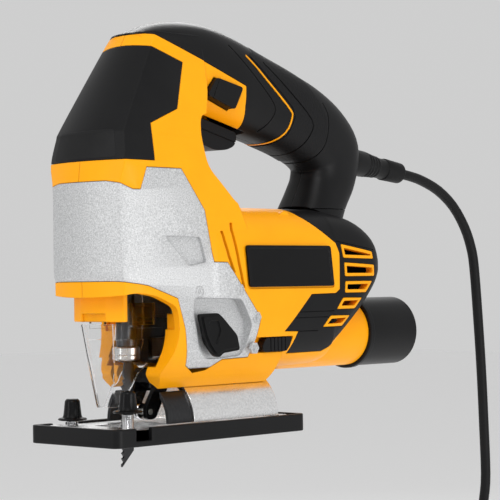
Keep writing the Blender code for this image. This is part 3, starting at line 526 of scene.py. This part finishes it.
def head_ring(z, half, front, rear, chamfer, bulge=5.0):
    """Bowed front, chamfered corners, straight sides."""
    wide = half - 4.2 * chamfer
    points = [(front - bulge * (1.0 - (i / 10.0 - 1.0) ** 2), wide * (i / 10.0 - 1.0), z)
              for i in range(21)]
    back = front + 8.5 * chamfer
    return points + [(back, half, z), (rear, half, z), (rear, -half, z), (back, -half, z)]


def head_form(shrink=0.0):
    return loft([head_ring(z, w - shrink, x + shrink, r, max(0.05, c))
                 for z, w, x, r, c in eased(HEAD_RINGS, 4)])


def barrel_form(shrink=0.0):
    rings = []
    for x, w, top, low in eased(BARREL_RINGS, 4):
        mid, half = (top + low) / 2, (top - low) / 2 - shrink
        rings.append([(x, a, mid + b) for a, b in superellipse(w - shrink, half, 3.6, 64)])
    return loft(rings)


def bar_form(shrink=0.0):
    rings = []
    for x, z, h, w, slope in eased(BAR_RINGS, 5):
        t = math.radians(slope)
        up = (-math.sin(t), math.cos(t))
        rings.append([(x + up[0] * b, a, z + up[1] * b)
                      for a, b in superellipse(w - shrink, h - shrink, 2.7, 48)])
    return loft(rings)


def body_form():
    form = head_form()
    cut(form, prism(rounded(CHAMBER, 4.0), -60.0, 60.0))
    cut(form, prism(rounded([(23.7, 127.0), (13.0, 137.0), (0.5, 148.0), (-1.5, 165.0),
                             (0.5, 178.0), (60.0, 166.0), (90.0, 127.0)], 6.0), -60.0, 60.0))
    join(form, barrel_form(), rod((70.0, 0.0, PORT_Z), (147.0, 0.0, PORT_Z), 20.0, sides=64),
         bar_form())
    cut(form, rod((-60.0, 0.0, BEVEL_Z), (80.0, 0.0, BEVEL_Z), SEAT_R, sides=96))
    return form


def inner_form():
    form = box((-58.0, 6.0), (-26.8, 26.8), (90.0, 147.0))
    barrel = barrel_form(3.0)
    within(barrel, box((2.0, 141.0), (-40.0, 40.0), (0.0, 200.0)))
    cut(barrel, box((-20.0, 62.0), (-40.0, 40.0), (0.0, 60.0)))
    handle = bar_form(3.0)
    within(handle, box((-14.0, 180.0), (-40.0, 40.0), (110.0, 300.0)))
    return join(form, barrel, handle, box((-34.0, -5.0), (-18.0, 18.0), (140.0, 196.0)),
                box((-10.0, 64.0), (-10.0, 10.0), (43.0, 56.0)),
                rod((60.0, 0.0, PORT_Z), (170.0, 0.0, PORT_Z), 17.0),
                box((-59.0, -22.0), (-26.8, 26.8), (60.0, 84.6)),
                box((-40.0, -5.0), (-20.0, 20.0), (40.0, 84.6)),
                box((-40.0, -5.0), (-14.0, 14.0), (20.0, 40.5)),
                box((-49.0, -20.0), (-14.0, 14.0), (140.0, 170.0)),
                box((0.0, 36.0), (-24.6, 24.6), (60.0, 92.0)))


BODY = body_form()
HOLLOW = inner_form()
SEAM = 0.3


def area(points, grow=0.0):
    return prism(inset(points, -grow), -70.0, 70.0)


# ---------------------------------------------------------------- casings
LEVER_PIVOT = (4.5, 57.0)
LEVER_RECESS = [(-12.4, 76.8), (21.9, 75.8), (30.5, 61.6), (26.0, 44.5), (9.0, 43.4),
                (-2.0, 43.4), (-8.0, 50.0), (-12.8, 68.5)]
TRIGGER_SLOT = [(1.0, 190.0), (-1.0, 157.0), (52.0, 157.0), (50.5, 182.0)]
LOCK_OUTLINE = [(16.4, 198.4), (9.0, 188.2), (30.5, 181.2), (37.6, 194.0)]
SLIDER_OUTLINE = [(43.5, 53.6), (65.2, 53.6), (63.0, 48.6), (60.0, 45.6), (41.5, 45.6),
                  (40.2, 48.6)]
SLIDER_RECESS = [(31.0, 54.0), (65.8, 54.0), (63.5, 48.4), (60.3, 45.2), (31.0, 45.2)]
VENTS = [[(106.6, 106.6), (135.4, 102.2), (136.6, 97.4), (108.2, 98.0)],
         [(108.8, 95.8), (137.4, 94.4), (137.8, 87.2), (109.4, 87.2)],
         [(109.6, 84.8), (136.0, 84.8), (129.5, 77.6), (109.2, 77.6)],
         [(107.6, 75.2), (126.4, 75.0), (119.6, 68.2), (101.6, 68.2)],
         [(96.6, 65.0), (115.8, 64.8), (108.6, 58.2), (89.8, 58.2)]]


def make_gear_housing():
    case = within(copy_of(BODY), area(SILVER_AREA, -SEAM))
    cut(case, box((-58.0, 8.0), (-26.8, 26.8), (90.0, 160.0)),
        box((-40.0, 60.0), (-26.4, 26.4), (30.0, 98.0)))
    floor = box((-61.0, -24.0), (-27.2, 27.2), (86.6, 90.6))
    join(case, within(floor, copy_of(BODY)))
    cut(case, rod((-33.7, 0, 80), (-33.7, 0, 96), 8.3))
    px, pz = LEVER_PIVOT
    cut(case, prism(rounded(LEVER_RECESS, 3.0), -40.0, -27.8),
        rod((px, -40, pz), (px, -20, pz), 3.4))
    for side in (-1.0, 1.0):
        deep = sorted((29.4 * side, 40.0 * side))
        cut(case, prism(rounded([(-33.4, 109.9), (-7.1, 109.5), (-2.7, 96.0), (-15.8, 93.9)], 1.5),
                        *deep))
    show(case, "gear_case", "cast", stands_for=["gear_housing"])


def make_front_cover():
    cover = within(copy_of(BODY), area(COVER_AREA, -SEAM))
    cut(cover, prism([(-57.0, 140.0), (10.0, 140.0), (10.0, 230.0), (-27.0, 230.0),
                      (-30.0, 210.0), (-57.0, 168.0)], -15.0, 15.0))
    show(cover, "cover", "satin", stands_for=["front_cover"])
    patch = within(head_form(-0.1), prism(rounded([(-24.5, 151.2), (24.5, 151.2), (21.0, 166.0),
                                                   (-21.0, 166.0)], 2.0), -90.0, -40.0, "X"))
    cut(patch, head_form(0.3))
    show(patch, "cover_patch", "patch")


def make_housing():
    shell = copy_of(BODY)
    cut(shell, area(SILVER_AREA), area(COVER_AREA), area(HANDLE_AREA), area(REAR_AREA))
    cut(shell, copy_of(HOLLOW), prism(TRIGGER_SLOT, -9.4, 9.4),
        prism(inset(LOCK_OUTLINE, -0.3), -40.0, -10.0),
        prism(rounded(SLIDER_RECESS, 1.5), -40.0, -26.6),
        rod((30.0, 0.0, 30.0), (30.0, 0.0, 42.9), 3.0))
    for side in (-1.0, 1.0):
        for x, low, high in ((13.0, 90.0, 113.0), (20.5, 81.5, 117.5)):
            middle, tall = (low + high) / 2, high - low
            slot = ribbon([(x - 3.6, high), (x - 2.5, middle + 0.22 * tall),
                           (x - 0.4, middle - 0.1 * tall), (x + 3.4, low)], 2.0)
            cut(shell, prism(slot, *sorted((26.0 * side, 40.0 * side))))
    badge = [(24.3, 106.2), (97.0, 106.2), (100.2, 81.0), (26.8, 81.0)]
    cut(shell, prism(rounded(badge, 2.0), -40.0, -33.2))
    for x, z, reach in ((-12.0, 160.0, 20.0), (27.0, 120.4, 24.5), (68.0, 120.4, 24.5),
                        (49.0, 60.0, 31.5)):
        join(shell, rod((x, -reach, z), (x, reach, z), 4.6))
        cut(shell, rod((x, -16.0, z), (x, 60.0, z), 1.9), rod((x, 9.0, z), (x, 60.0, z), 3.6))
    right = copy_of(shell)
    cut(shell, box((-200.0, 300.0), (-0.12, 100.0), (-50.0, 300.0)))
    cut(right, box((-200.0, 300.0), (-100.0, 0.12), (-50.0, 300.0)))
    show(shell, "yellow_half_left", "yellow", stands_for=["housing_left"])
    show(right, "yellow_half_right", "yellow", stands_for=["housing_right"])


PINSTRIPE = [(44.5, 213.2), (52.6, 206.9), (60.5, 200.2), (70.5, 192.2), (80.2, 184.1),
             (81.8, 180.2), (78.2, 170.7), (69.5, 163.9), (60.1, 162.4)]
SEAMS = [[(30.7, 217.8), (52.5, 199.6), (66.5, 186.2), (65.5, 178.7), (58.6, 170.9)],
         [(59.4, 210.4), (80.0, 194.5), (98.4, 179.3), (97.8, 170.5), (89.2, 158.4)],
         [(109.8, 190.1), (114.1, 181.5), (112.0, 166.5), (104.6, 156.2), (93.0, 151.6)]]


def make_handle():
    shell = within(copy_of(BODY), area(HANDLE_AREA, -SEAM))
    cut(shell, copy_of(HOLLOW))
    cut(shell, rod((140.0, 0.0, 160.2), (186.8, 0.0, 154.3), 8.4),
        prism(inset(LOCK_OUTLINE, -0.3), -40.0, -10.0), prism(TRIGGER_SLOT, -9.4, 9.4))
    for line in SEAMS + [PINSTRIPE]:
        width = 1.7 if line is PINSTRIPE else 0.8
        ends = eased(line, 3)
        groove = prism(ribbon(ends, width), -40.0, 40.0)
        cut(shell, cut(groove, bar_form(0.6)))
    for x, z, reach in ((66.0, 184.0, 17.6), (125.0, 160.0, 16.2)):
        join(shell, rod((x, -reach, z), (x, reach, z), 4.6))
        cut(shell, rod((x, -16.0, z), (x, 60.0, z), 1.9), rod((x, 9.0, z), (x, 60.0, z), 3.6))
    right = copy_of(shell)
    cut(shell, box((-200.0, 300.0), (-0.12, 100.0), (-50.0, 300.0)))
    cut(right, box((-200.0, 300.0), (-100.0, 0.12), (-50.0, 300.0)))
    show(shell, "grip_half_left", "satin", stands_for=["handle_left"])
    show(right, "grip_half_right", "satin", stands_for=["handle_right"])
    stripe = within(bar_form(-0.15), prism(ribbon(eased(PINSTRIPE, 3), 1.1), -40.0, 40.0))
    cut(stripe, bar_form(0.5))
    show(stripe, "pinstripe", "yellow")
    zone = PINSTRIPE + [(93.0, 151.6), (104.6, 156.2), (112.0, 166.5), (114.1, 181.5),
                        (109.8, 190.1), (98.0, 205.0), (60.0, 226.0)]
    pad = within(bar_form(-0.35), prism(inset(zone, 2.2), -40.0, 40.0))
    cut(pad, bar_form(0.1), box((0.0, 200.0), (-0.1, 0.1), (0.0, 300.0)))
    line = ribbon(eased(SEAMS[1], 3), 0.9)
    cut(pad, prism(line, -40.0, 40.0))
    show(pad, "grip_rubber", "rubber")


def make_rear():
    cover = within(copy_of(BODY), area(REAR_AREA, -SEAM))
    cut(cover, copy_of(HOLLOW))
    for outline in VENTS:
        for span in ((-40.0, -24.0), (24.0, 40.0)):
            cut(cover, prism(rounded(outline, 1.2), *span))
    for side in (-1.0, 1.0):
        for line in ([(66.0, 67.5), (99.5, 67.5)], [(64.0, 64.2), (94.0, 64.2)],
                     [(58.0, 56.5), (86.0, 56.5)], [(102.9, 108.0), (137.0, 103.0)]):
            groove = within(prism(ribbon(line, 0.5), *sorted((15.0 * side, 60.0 * side))),
                            barrel_form(-1.0))
            cut(cover, cut(groove, barrel_form(0.45)))
    show(cover, "end_cover", "black", stands_for=["rear_cover"])
    for name, side in (("left", -1.0), ("right", 1.0)):
        span = sorted((15.0 * side, 45.0 * side))
        frames = within(barrel_form(-0.1), prism(rounded(inset(VENTS[0], 0.3), 1.0), *span))
        for outline in VENTS[1:]:
            join(frames, within(barrel_form(-0.1),
                                prism(rounded(inset(outline, 0.3), 1.0), *span)))
        cut(frames, barrel_form(3.6))
        for outline in VENTS:
            cut(frames, prism(rounded(inset(outline, 2.1), 0.6), *span))
        backing = within(barrel_form(3.5), prism(
            [(104.0, 108.5), (133.0, 108.5), (138.0, 98.0), (138.6, 86.6), (130.0, 76.2),
             (112.0, 56.6), (88.0, 56.6), (104.0, 76.0)], *span))
        cut(backing, barrel_form(5.0))
        for outline in VENTS:
            cut(backing, prism(rounded(inset(outline, 2.1), 0.6), *span))
        join(frames, backing)
        show(frames, f"intake_grille_{name}", "yellow", stands_for=[f"vent_grille_{name}"])


def make_trim():
    badge = prism(rounded([(25.3, 105.2), (96.0, 105.2), (99.0, 82.0), (28.0, 82.0)], 2.0, 6),
                  -35.0, -33.6)
    cut(badge, prism(rounded([(27.1, 103.6), (94.4, 103.6), (97.1, 83.6), (29.7, 83.6)], 1.6, 6),
                     -36.0, -34.65))
    show(badge, "badge_frame", "gloss", stands_for=["badge_plate"], bevel=0.25)
    chin = [(-50.6, -20.0), (-53.5, -19.8), (-57.0, -10.0), (-58.4, 0.0), (-57.0, 10.0),
            (-53.5, 19.8), (-50.6, 20.0)]
    piece = prism(chin, 64.6, 84.2, "Z")
    cut(piece, box((-62.0, -55.6), (-9.0, 9.0), (60.0, 69.0)))
    show(piece, "chin", "yellow", stands_for=["nose_cover"], bevel=0.8)


# ---------------------------------------------------------------- controls
TRIGGER_OUTLINE = [(6.8, 179.4), (46.0, 169.8), (44.5, 162.5), (37.0, 159.6), (27.0, 159.4),
                   (3.6, 167.0), (3.6, 172.0)]
LEVER_OUTLINE = [(-11.4, 68.0), (3.2, 68.3), (7.1, 65.5), (17.9, 55.9), (20.1, 47.6),
                 (6.7, 46.4), (4.3, 44.3), (0.4, 44.5), (-4.8, 50.1), (-7.8, 55.6)]


def make_controls():
    trigger = prism(rounded(TRIGGER_OUTLINE, 3.5, 5), -8.8, 8.8)
    line = ribbon([(2.0, 174.6), (48.0, 163.4)], 0.7)
    cut(trigger, prism(line, -9.5, -8.2), prism(line, 8.2, 9.5))
    show(trigger, "trigger_lever", "black", "trigger", ["trigger"], bevel=1.4)
    lock = prism(rounded(LOCK_OUTLINE, 2.2, 5), -22.6, -12.0)
    cut(lock, prism(ribbon([(19.0, 199.5), (13.0, 186.0)], 0.6), -24.0, -22.2))
    show(lock, "lock_on_button", "black", "lock", ["lock_button"], bevel=1.1)
    slider = prism(rounded(SLIDER_OUTLINE, 1.4, 4), -32.0, -26.9)
    for x in (47.0, 50.0, 53.0, 56.0, 59.0):
        cut(slider, prism(ribbon([(x, 44.0), (x, 55.0)], 0.9), -33.0, -31.4))
    show(slider, "blower_knob", "black", "slider", ["blower_slider"], bevel=0.35)
    px, pz = LEVER_PIVOT
    lever = join(prism(rounded(LEVER_OUTLINE, 2.0, 4), -34.0, -31.9),
                 prism(rounded(inset(LEVER_OUTLINE, 1.6), 1.6, 4), -35.0, -33.0),
                 rod((px, -32.5, pz), (px, -28.1, pz), 8.8),
                 rod((px, -28.4, pz), (px, -25.4, pz), 3.1))
    cut(lever, prism(rounded([(-5.0, 64.0), (2.4, 64.2), (4.6, 59.0), (1.0, 51.0), (-3.6, 54.6)],
                             1.5), -36.0, -34.3))
    show(lever, "orbit_lever", "gloss", "lever", ["pendulum_lever"], bevel=0.5)


def make_marks():
    """Raised hexagon bosses with the four lever positions, 0 to III."""
    for number, (x, z) in zip(("0", "I", "II", "III"),
                              ((-8.4, 80.0), (20.6, 80.6), (33.9, 65.2), (31.6, 48.2))):
        ring = [(x + 3.4 * math.cos(math.pi * k / 3), z + 3.4 * math.sin(math.pi * k / 3))
                for k in range(6)]
        surface = -31.2 if x < 6.0 else -33.9
        boss = prism(ring, surface - 0.35, surface + 1.5)
        cut(boss, prism(inset(ring, 0.6), surface - 2.0, surface - 0.05))
        show(boss, f"mark_boss_{number}", "cast")
        curve = bpy.data.curves.new(f"mark_{number}", "FONT")
        curve.body = number
        curve.size = 0.0042
        curve.extrude = 0.0003
        curve.align_x = curve.align_y = "CENTER"
        text = bpy.data.objects.new(f"mark_{number}", curve)
        SHOWN.objects.link(text)
        text.matrix_world = (Matrix.Translation(Vector((x, surface - 0.05, z)) * MM)
                             @ Matrix.Rotation(math.pi / 2, 4, "X"))
        curve.materials.append(LOOK["cast"])
        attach(text, ROOT)


# ---------------------------------------------------------------- guard, blade train
def guard_ring(z, front, rear, half):
    points = [(front + 5.0 * abs(i / 12.0 - 1.0) ** 3.0, half * (i / 12.0 - 1.0), z)
              for i in range(25)]
    return points + [(rear, half, z), (rear, -half, z)]


GUARD_RINGS = [(19.0, -53.0, -45.0, 6.6), (27.0, -54.4, -39.0, 7.8), (39.0, -56.4, -30.0, 9.4),
               (48.0, -58.0, -14.0, 10.8), (63.6, -60.4, -10.6, 12.8)]


def make_guard():
    outer = loft([guard_ring(*r) for r in eased(GUARD_RINGS, 4)])
    join(outer, box((-48.6, -10.6), (-12.8, 12.8), (61.0, 79.0)))
    inner = [(z + e, f + 1.5, r + 5.0, h - 1.5) for (z, f, r, h), e in
             zip(GUARD_RINGS, (-1.0, 0.0, 0.0, 0.0, 1.0))]
    cut(outer, loft([guard_ring(*r) for r in eased(inner, 4)]),
        box((-52.0, 0.0), (-11.3, 11.3), (55.0, 90.0)))
    show(outer, "clear_shield", "clear", stands_for=["blade_guard"], bevel=0.3)
    for side in (-1.0, 1.0):
        low, high = sorted((8.6 * side, 11.0 * side))
        tab = box((-40.0, -23.0), (low, high), (62.5, 74.5))
        cut(tab, box((-38.0, -25.0), sorted((10.2 * side, 12.0 * side)), (64.5, 72.5)))
        show(tab, f"shield_tab_{'left' if side < 0 else 'right'}", "amber", bevel=0.4)


def make_blade_train():
    x = -33.7
    clamp = join(rod((x, 0, 51.3), (x, 0, 63.9), 5.6), rod((x, 0, 42.6), (x, 0, 52.0), 4.9))
    cut(clamp, box((-37.6, -29.8), (-1.0, 1.0), (30.0, 60.4)),
        box((-40.0, -28.0), (-6.0, -4.6), (54.5, 61.0)),
        box((-40.0, -28.0), (4.6, 6.0), (54.5, 61.0)))
    show(clamp, "clamp_body", "dark", "plunger", ["blade_clamp"], bevel=0.4)
    ring = turned([(0.0, 5.2), (0.0, 6.6), (0.7, 7.2), (2.4, 7.2), (2.8, 6.9), (3.2, 7.2),
                   (6.6, 7.2), (7.4, 6.5), (7.4, 5.2)], (x, 0, 43.6), (x, 0, 60.0))
    show(ring, "clamp_ring", "steel", "collar", ["clamp_collar"])
    outline, pitch, count = [(-38.0, -13.9)], 3.0, 16
    for i in range(count):
        z = -12.4 + i * pitch
        outline += [(-38.0, z), (-36.9, z + 0.5), (-36.6, z + 1.1), (-37.2, z + 2.0)]
    outline += [(-38.0, 35.6), (-37.2, 41.5), (-37.2, 60.0), (-30.2, 60.0), (-30.2, 41.5),
                (-29.5, 40.0), (-29.5, -5.4)]
    blade = prism(outline, -0.65, 0.65)
    show(blade, "saw_blade", "dark", "plunger", ["blade"])
    px, pz, rx, rz = -16.0, 34.0, -24.5, 15.4
    arm = [(-21.0, 38.6), (-10.2, 38.6), (-10.2, 30.0), (-14.5, 22.5), (-21.0, 11.2),
           (-27.5, 11.2), (-28.2, 17.5), (-21.5, 28.0)]
    fork = prism(rounded(arm, 2.4, 5), -9.0, 9.0)
    cut(fork, prism([(-40.0, 0.0), (-5.0, 0.0), (-13.0, 27.0), (-19.0, 31.0), (-40.0, 31.0)],
                    -6.4, 6.4))
    cut(fork, rod((px, -20, pz), (px, 20, pz), 2.3), rod((rx, -20, rz), (rx, 20, rz), 1.8))
    show(fork, "orbit_fork", "gloss", "fork", ["roller_fork"], bevel=0.7)
    wheel = turned([(-2.6, 1.8), (-2.6, 4.3), (-2.3, 4.6), (-0.9, 4.6), (-0.8, 3.7), (0.8, 3.7),
                    (0.9, 4.6), (2.3, 4.6), (2.6, 4.3), (2.6, 1.8)], (rx, 0, rz), (rx, 10, rz))
    show(wheel, "back_roller", "chrome", "roller", ["guide_roller"])


# ---------------------------------------------------------------- sole
def sole_outline(margin=0.0, radius=5.0, steps=8):
    half_l, half_w = 73.5 - margin, 34.5 - margin
    points = []
    for cx, cy, start in ((1, 1, 0), (-1, 1, 90), (-1, -1, 180), (1, -1, 270)):
        for k in range(steps + 1):
            t = math.radians(start + 90 * k / steps)
            points.append((cx * (half_l - radius) + radius * math.cos(t),
                           cy * (half_w - radius) + radius * math.sin(t)))
    return points


def make_sole():
    throat = ((-47.0, -11.0), (-12.0, 12.0), (-5.0, 20.0))
    shoe = prism(sole_outline(), 0.0, 9.7, "Z")
    cut(shoe, prism(sole_outline(3.0), 2.5, 20.0, "Z"), box(*throat),
        box((-58.9, -48.0), (-50.0, -30.0), (3.0, 20.0)),
        box((-58.9, -48.0), (30.0, 50.0), (3.0, 20.0)))
    show(shoe, "shoe", "black", "sole", ["sole_shoe"], bevel=0.6)
    plate = prism(sole_outline(3.3), 2.8, 8.4, "Z")
    raised = prism(rounded([(-66.0, -27.0), (-61.0, -27.0), (-61.0, 27.0), (-66.0, 27.0)], 2.0),
                   8.0, 9.2, "Z")
    rails = [prism(rounded([(-8.0, s * 27.5), (66.0, s * 27.5), (66.0, s * 30.5),
                            (-8.0, s * 30.5)], 1.0), 8.0, 9.2, "Z") for s in (-1.0, 1.0)]
    rear = prism(rounded([(61.0, -26.0), (67.0, -26.0), (67.0, 26.0), (61.0, 26.0)], 2.0),
                 8.0, 9.2, "Z")
    join(plate, raised, rear, *rails)
    cut(plate, box(*throat), box((-58.9, -48.0), (-50.0, 50.0), (3.7, 8.0)))
    for side in (-1.0, 1.0):
        cut(plate, rod((-53.4, 22 * side, 3), (-53.4, 22 * side, 12), 3.5))
    show(plate, "shoe_plate", "plate", "sole", ["sole_plate"], bevel=0.3)
    arch = tube((-8.0, 59.0), 25.8, 23.8)
    cut(arch, box((26.4, 33.6), (-13.5, 13.5), (20.0, 50.0)))
    show(arch, "bevel_quadrant", "plate", "sole", ["bevel_saddle"], bevel=0.4)
    # Painted shade: the front arc is the same rolled plate as the saddle, but it is recessed and
    # in shadow, so it is given the dark steel look.
    front = tube((-26.0, -8.2), 24.4, 22.4)
    cut(front, box((-40.0, -8.3), (-17.5, 17.5), (0.0, 60.0)))
    show(front, "quadrant_front_painted_shade", "dark", "sole", bevel=0.3)
    for name, side, lift in (("left", -1.0, 5.0), ("right", 1.0, -0.6)):
        make_fence_knob(name, 22.0 * side, lift)


def tube(span, outer, inner):
    arch = cut(rod((span[0], 0, BEVEL_Z), (span[1], 0, BEVEL_Z), outer, sides=96),
               rod((span[0] - 5, 0, BEVEL_Z), (span[1] + 5, 0, BEVEL_Z), inner, sides=96))
    return cut(arch, box((-90.0, 90.0), (-60.0, 60.0), (-60.0, BEVEL_Z)))


def make_fence_knob(name, y, lift):
    x = -53.4
    top = 12.0 + lift
    knob = turned([(0.0, 0.001), (0.0, 7.4), (0.5, 8.0), (1.2, 7.4), (1.6, 5.4), (3.0, 4.9),
                   (10.4, 4.1), (11.5, 3.2), (11.5, 0.001)], (x, y, top), (x, y, top + 20))
    for k in range(10):
        t = 2 * math.pi * k / 10
        cut(knob, rod((x + 5.6 * math.cos(t), y + 5.6 * math.sin(t), top + 2.0),
                      (x + 4.9 * math.cos(t), y + 4.9 * math.sin(t), top + 14.0), 0.9, sides=10))
    show(knob, f"fence_knob_{name}", "gloss", f"fence_{name}", [f"fence_screw_{name}"])
    thread = [(0.0, 0.001)]
    for k in range(int((top - 8.3) / 1.0)):
        thread += [(k, 2.8), (k + 0.5, 3.2)]
    thread += [(top - 8.4, 2.8), (top - 8.4, 0.001)]
    stud = turned(thread, (x, y, 8.3), (x, y, 30.0), 32)
    show(stud, f"fence_stud_{name}", "chrome", f"fence_{name}")


# ---------------------------------------------------------------- port, screws, lead
def make_port():
    port = turned([(0.0, 17.0), (0.0, 21.4), (0.6, 22.0), (3.6, 22.0), (4.2, 21.4), (4.6, 20.8),
                   (45.3, 20.8), (46.7, 19.4), (46.7, 17.0)],
                  (147.3, 0, PORT_Z), (200.0, 0, PORT_Z), 96)
    show(port, "vacuum_port", "satin", stands_for=["dust_port"])


def make_screws():
    spots = [("housing_screw", -12.0, 160.0), ("housing_screw", 27.0, 120.4),
             ("housing_screw", 68.0, 120.4), ("housing_screw", 49.0, 60.0),
             ("handle_screw", 66.0, 184.0), ("handle_screw", 125.0, 160.0)]
    for number, (kind, x, z) in enumerate(spots, 1):
        screw = join(rod((x, -15.4, z), (x, 9.6, z), 1.6), rod((x, 9.3, z), (x, 12.3, z), 3.2))
        for k in range(3):
            t = math.pi * k / 3
            cut(screw, prism(ribbon([(x - 1.9 * math.cos(t), z - 1.9 * math.sin(t)),
                                     (x + 1.9 * math.cos(t), z + 1.9 * math.sin(t))], 0.7),
                             11.0, 14.0))
        show(screw, f"case_screw_{number}", "steel", stands_for=[f"{kind}_{number}"], bevel=0.15)


CORD_RADIUS = 3.25
BOOT_END = (203.5, 152.2)
# Side-view route of the hanging lead, then (radius, y) of each turn of its coil
CORD_ROUTE = [(204.2, 152.1), (215.0, 150.7), (227.0, 148.2), (243.6, 142.4), (259.0, 132.7),
              (271.0, 119.4), (278.0, 106.0), (281.4, 92.0), (284.9, 57.4), (287.6, 24.0),
              (289.4, -10.0), (290.7, -45.0)]
TURN_SPOTS = [(36.0, 9.9), (42.6, 3.3), (36.0, 3.3), (29.4, 3.3), (29.4, -3.3), (36.0, -3.3),
              (42.6, -3.3), (36.0, -9.9)]


def cord_points():
    points = [(x, 0.0, z) for x, z in CORD_ROUTE]
    points += [(291.0, 2.0, -62.0), (291.0, 5.4, -80.0), (291.0, 8.8, -99.0)]
    cx, cz, steps = 255.0, -118.0, 28
    for (r0, y0), (r1, y1) in zip(TURN_SPOTS, TURN_SPOTS[1:]):
        for k in range(steps):
            t = k / steps
            mix = max(0.0, (t - 0.45) / 0.55)
            mix = mix * mix * (3 - 2 * mix)
            r, y = r0 + (r1 - r0) * mix, y0 + (y1 - y0) * mix
            turn = 2 * math.pi * t
            points.append((cx + r * math.cos(turn), y, cz - r * math.sin(turn)))
    points += [(291.0, -9.9, -118.0), (291.0, -8.6, -135.0), (291.0, -4.4, -150.0),
               (291.0, -1.0, -163.0), (291.0, 0.0, -176.0)]
    return points


def make_lead():
    curve = bpy.data.curves.new("mains_lead", "CURVE")
    curve.dimensions = "3D"
    curve.bevel_depth = CORD_RADIUS * MM
    curve.bevel_resolution = 4
    curve.use_fill_caps = True
    spline = curve.splines.new("POLY")
    smooth = eased(cord_points(), 3)
    spline.points.add(len(smooth) - 1)
    for point, place in zip(spline.points, smooth):
        point.co = (*(Vector(place) * MM), 1.0)
    spline.use_smooth = True
    lead = bpy.data.objects.new("mains_lead", curve)
    SHOWN.objects.link(lead)
    curve.materials.append(LOOK["sheath"])
    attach(lead, ROOT)
    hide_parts("cord", "cord_tail", "cord_coil")
    tie = cut(box((280.0, 302.0), (-15.2, 15.2), (-122.0, -114.0)),
              box((281.3, 300.7), (-14.0, 14.0), (-130.0, -110.0)))
    show(tie, "hook_tie", "satin", stands_for=["coil_tie"], bevel=0.5)
    plug = turned([(0.0, 0.001), (0.0, 4.6), (2.0, 5.2), (16.0, 8.0), (20.0, 13.0), (22.0, 17.0),
                   (26.0, 18.0), (40.0, 18.5), (41.5, 17.6), (41.7, 0.001)],
                  (291.0, 0, -176.3), (291.0, 0, -300.0), 64)
    for z in (-180.0, -184.0, -188.0):
        cut(plug, cut(rod((291.0, 0, z), (291.0, 0, z - 1.4), 12.0),
                      rod((291.0, 0, z + 1), (291.0, 0, z - 3), 5.0 + (-176.0 - z) * 0.12)))
    for y in (-19.0, 19.0):
        cut(plug, rod((291.0, y * 1.75, -190.0), (291.0, y * 1.75, -230.0), 17.0))
    show(plug, "plug_body", "black", stands_for=["mains_plug"], bevel=0.3)
    pins = []
    for x in (281.5, 300.5):
        pin = rod((x, 0, -217.0), (x, 0, -236.9), 2.4)
        show(pin, f"plug_pin_{len(pins)}", "chrome", bevel=0.4)
        pins.append(pin)
    sleeve = turned([(0.0, 4.0), (0.0, 8.0), (16.0, 8.0), (17.0, 7.4), (18.4, 7.8), (20.0, 7.0),
                     (21.4, 7.4), (23.0, 6.8), (24.4, 7.1), (26.0, 6.5), (27.4, 6.9), (29.0, 6.3),
                     (36.6, 6.3), (36.8, 6.7), (37.2, 6.9), (52.4, 6.5), (54.0, 5.4),
                     (54.0, 4.0)], (150.0, 0, 158.94), (BOOT_END[0], 0, BOOT_END[1]), 64)
    show(sleeve, "cord_sleeve", "sheath", stands_for=["cord_boot"])
    collar = turned([(0.0, 8.1), (0.0, 9.3), (1.6, 9.3), (1.6, 8.1)], (148.6, 0, 159.12),
                    (186.8, 0, 154.3), 64)
    show(collar, "sleeve_collar", "yellow")


def finish_nodes():
    """Better materials for the CAD nodes that stay in view."""
    slots = {s["node"]: s["material_slot"] for s in frame["record"]["subparts"]}
    for name, node in frame["nodes"].items():
        look = LOOK[SLOT_LOOK.get(slots.get(name, ""), "dark")]
        if not node.material_slots:
            node.data.materials.append(look)
        for slot in node.material_slots:
            slot.material = look


make_camera()
make_stage()
finish_nodes()
make_gear_housing()
make_front_cover()
make_housing()
make_handle()
make_rear()
make_trim()
make_controls()
make_marks()
make_guard()
make_blade_train()
make_sole()
make_port()
make_screws()
make_lead()
for helper in (BODY, HOLLOW):
    bpy.data.objects.remove(helper, do_unlink=True)
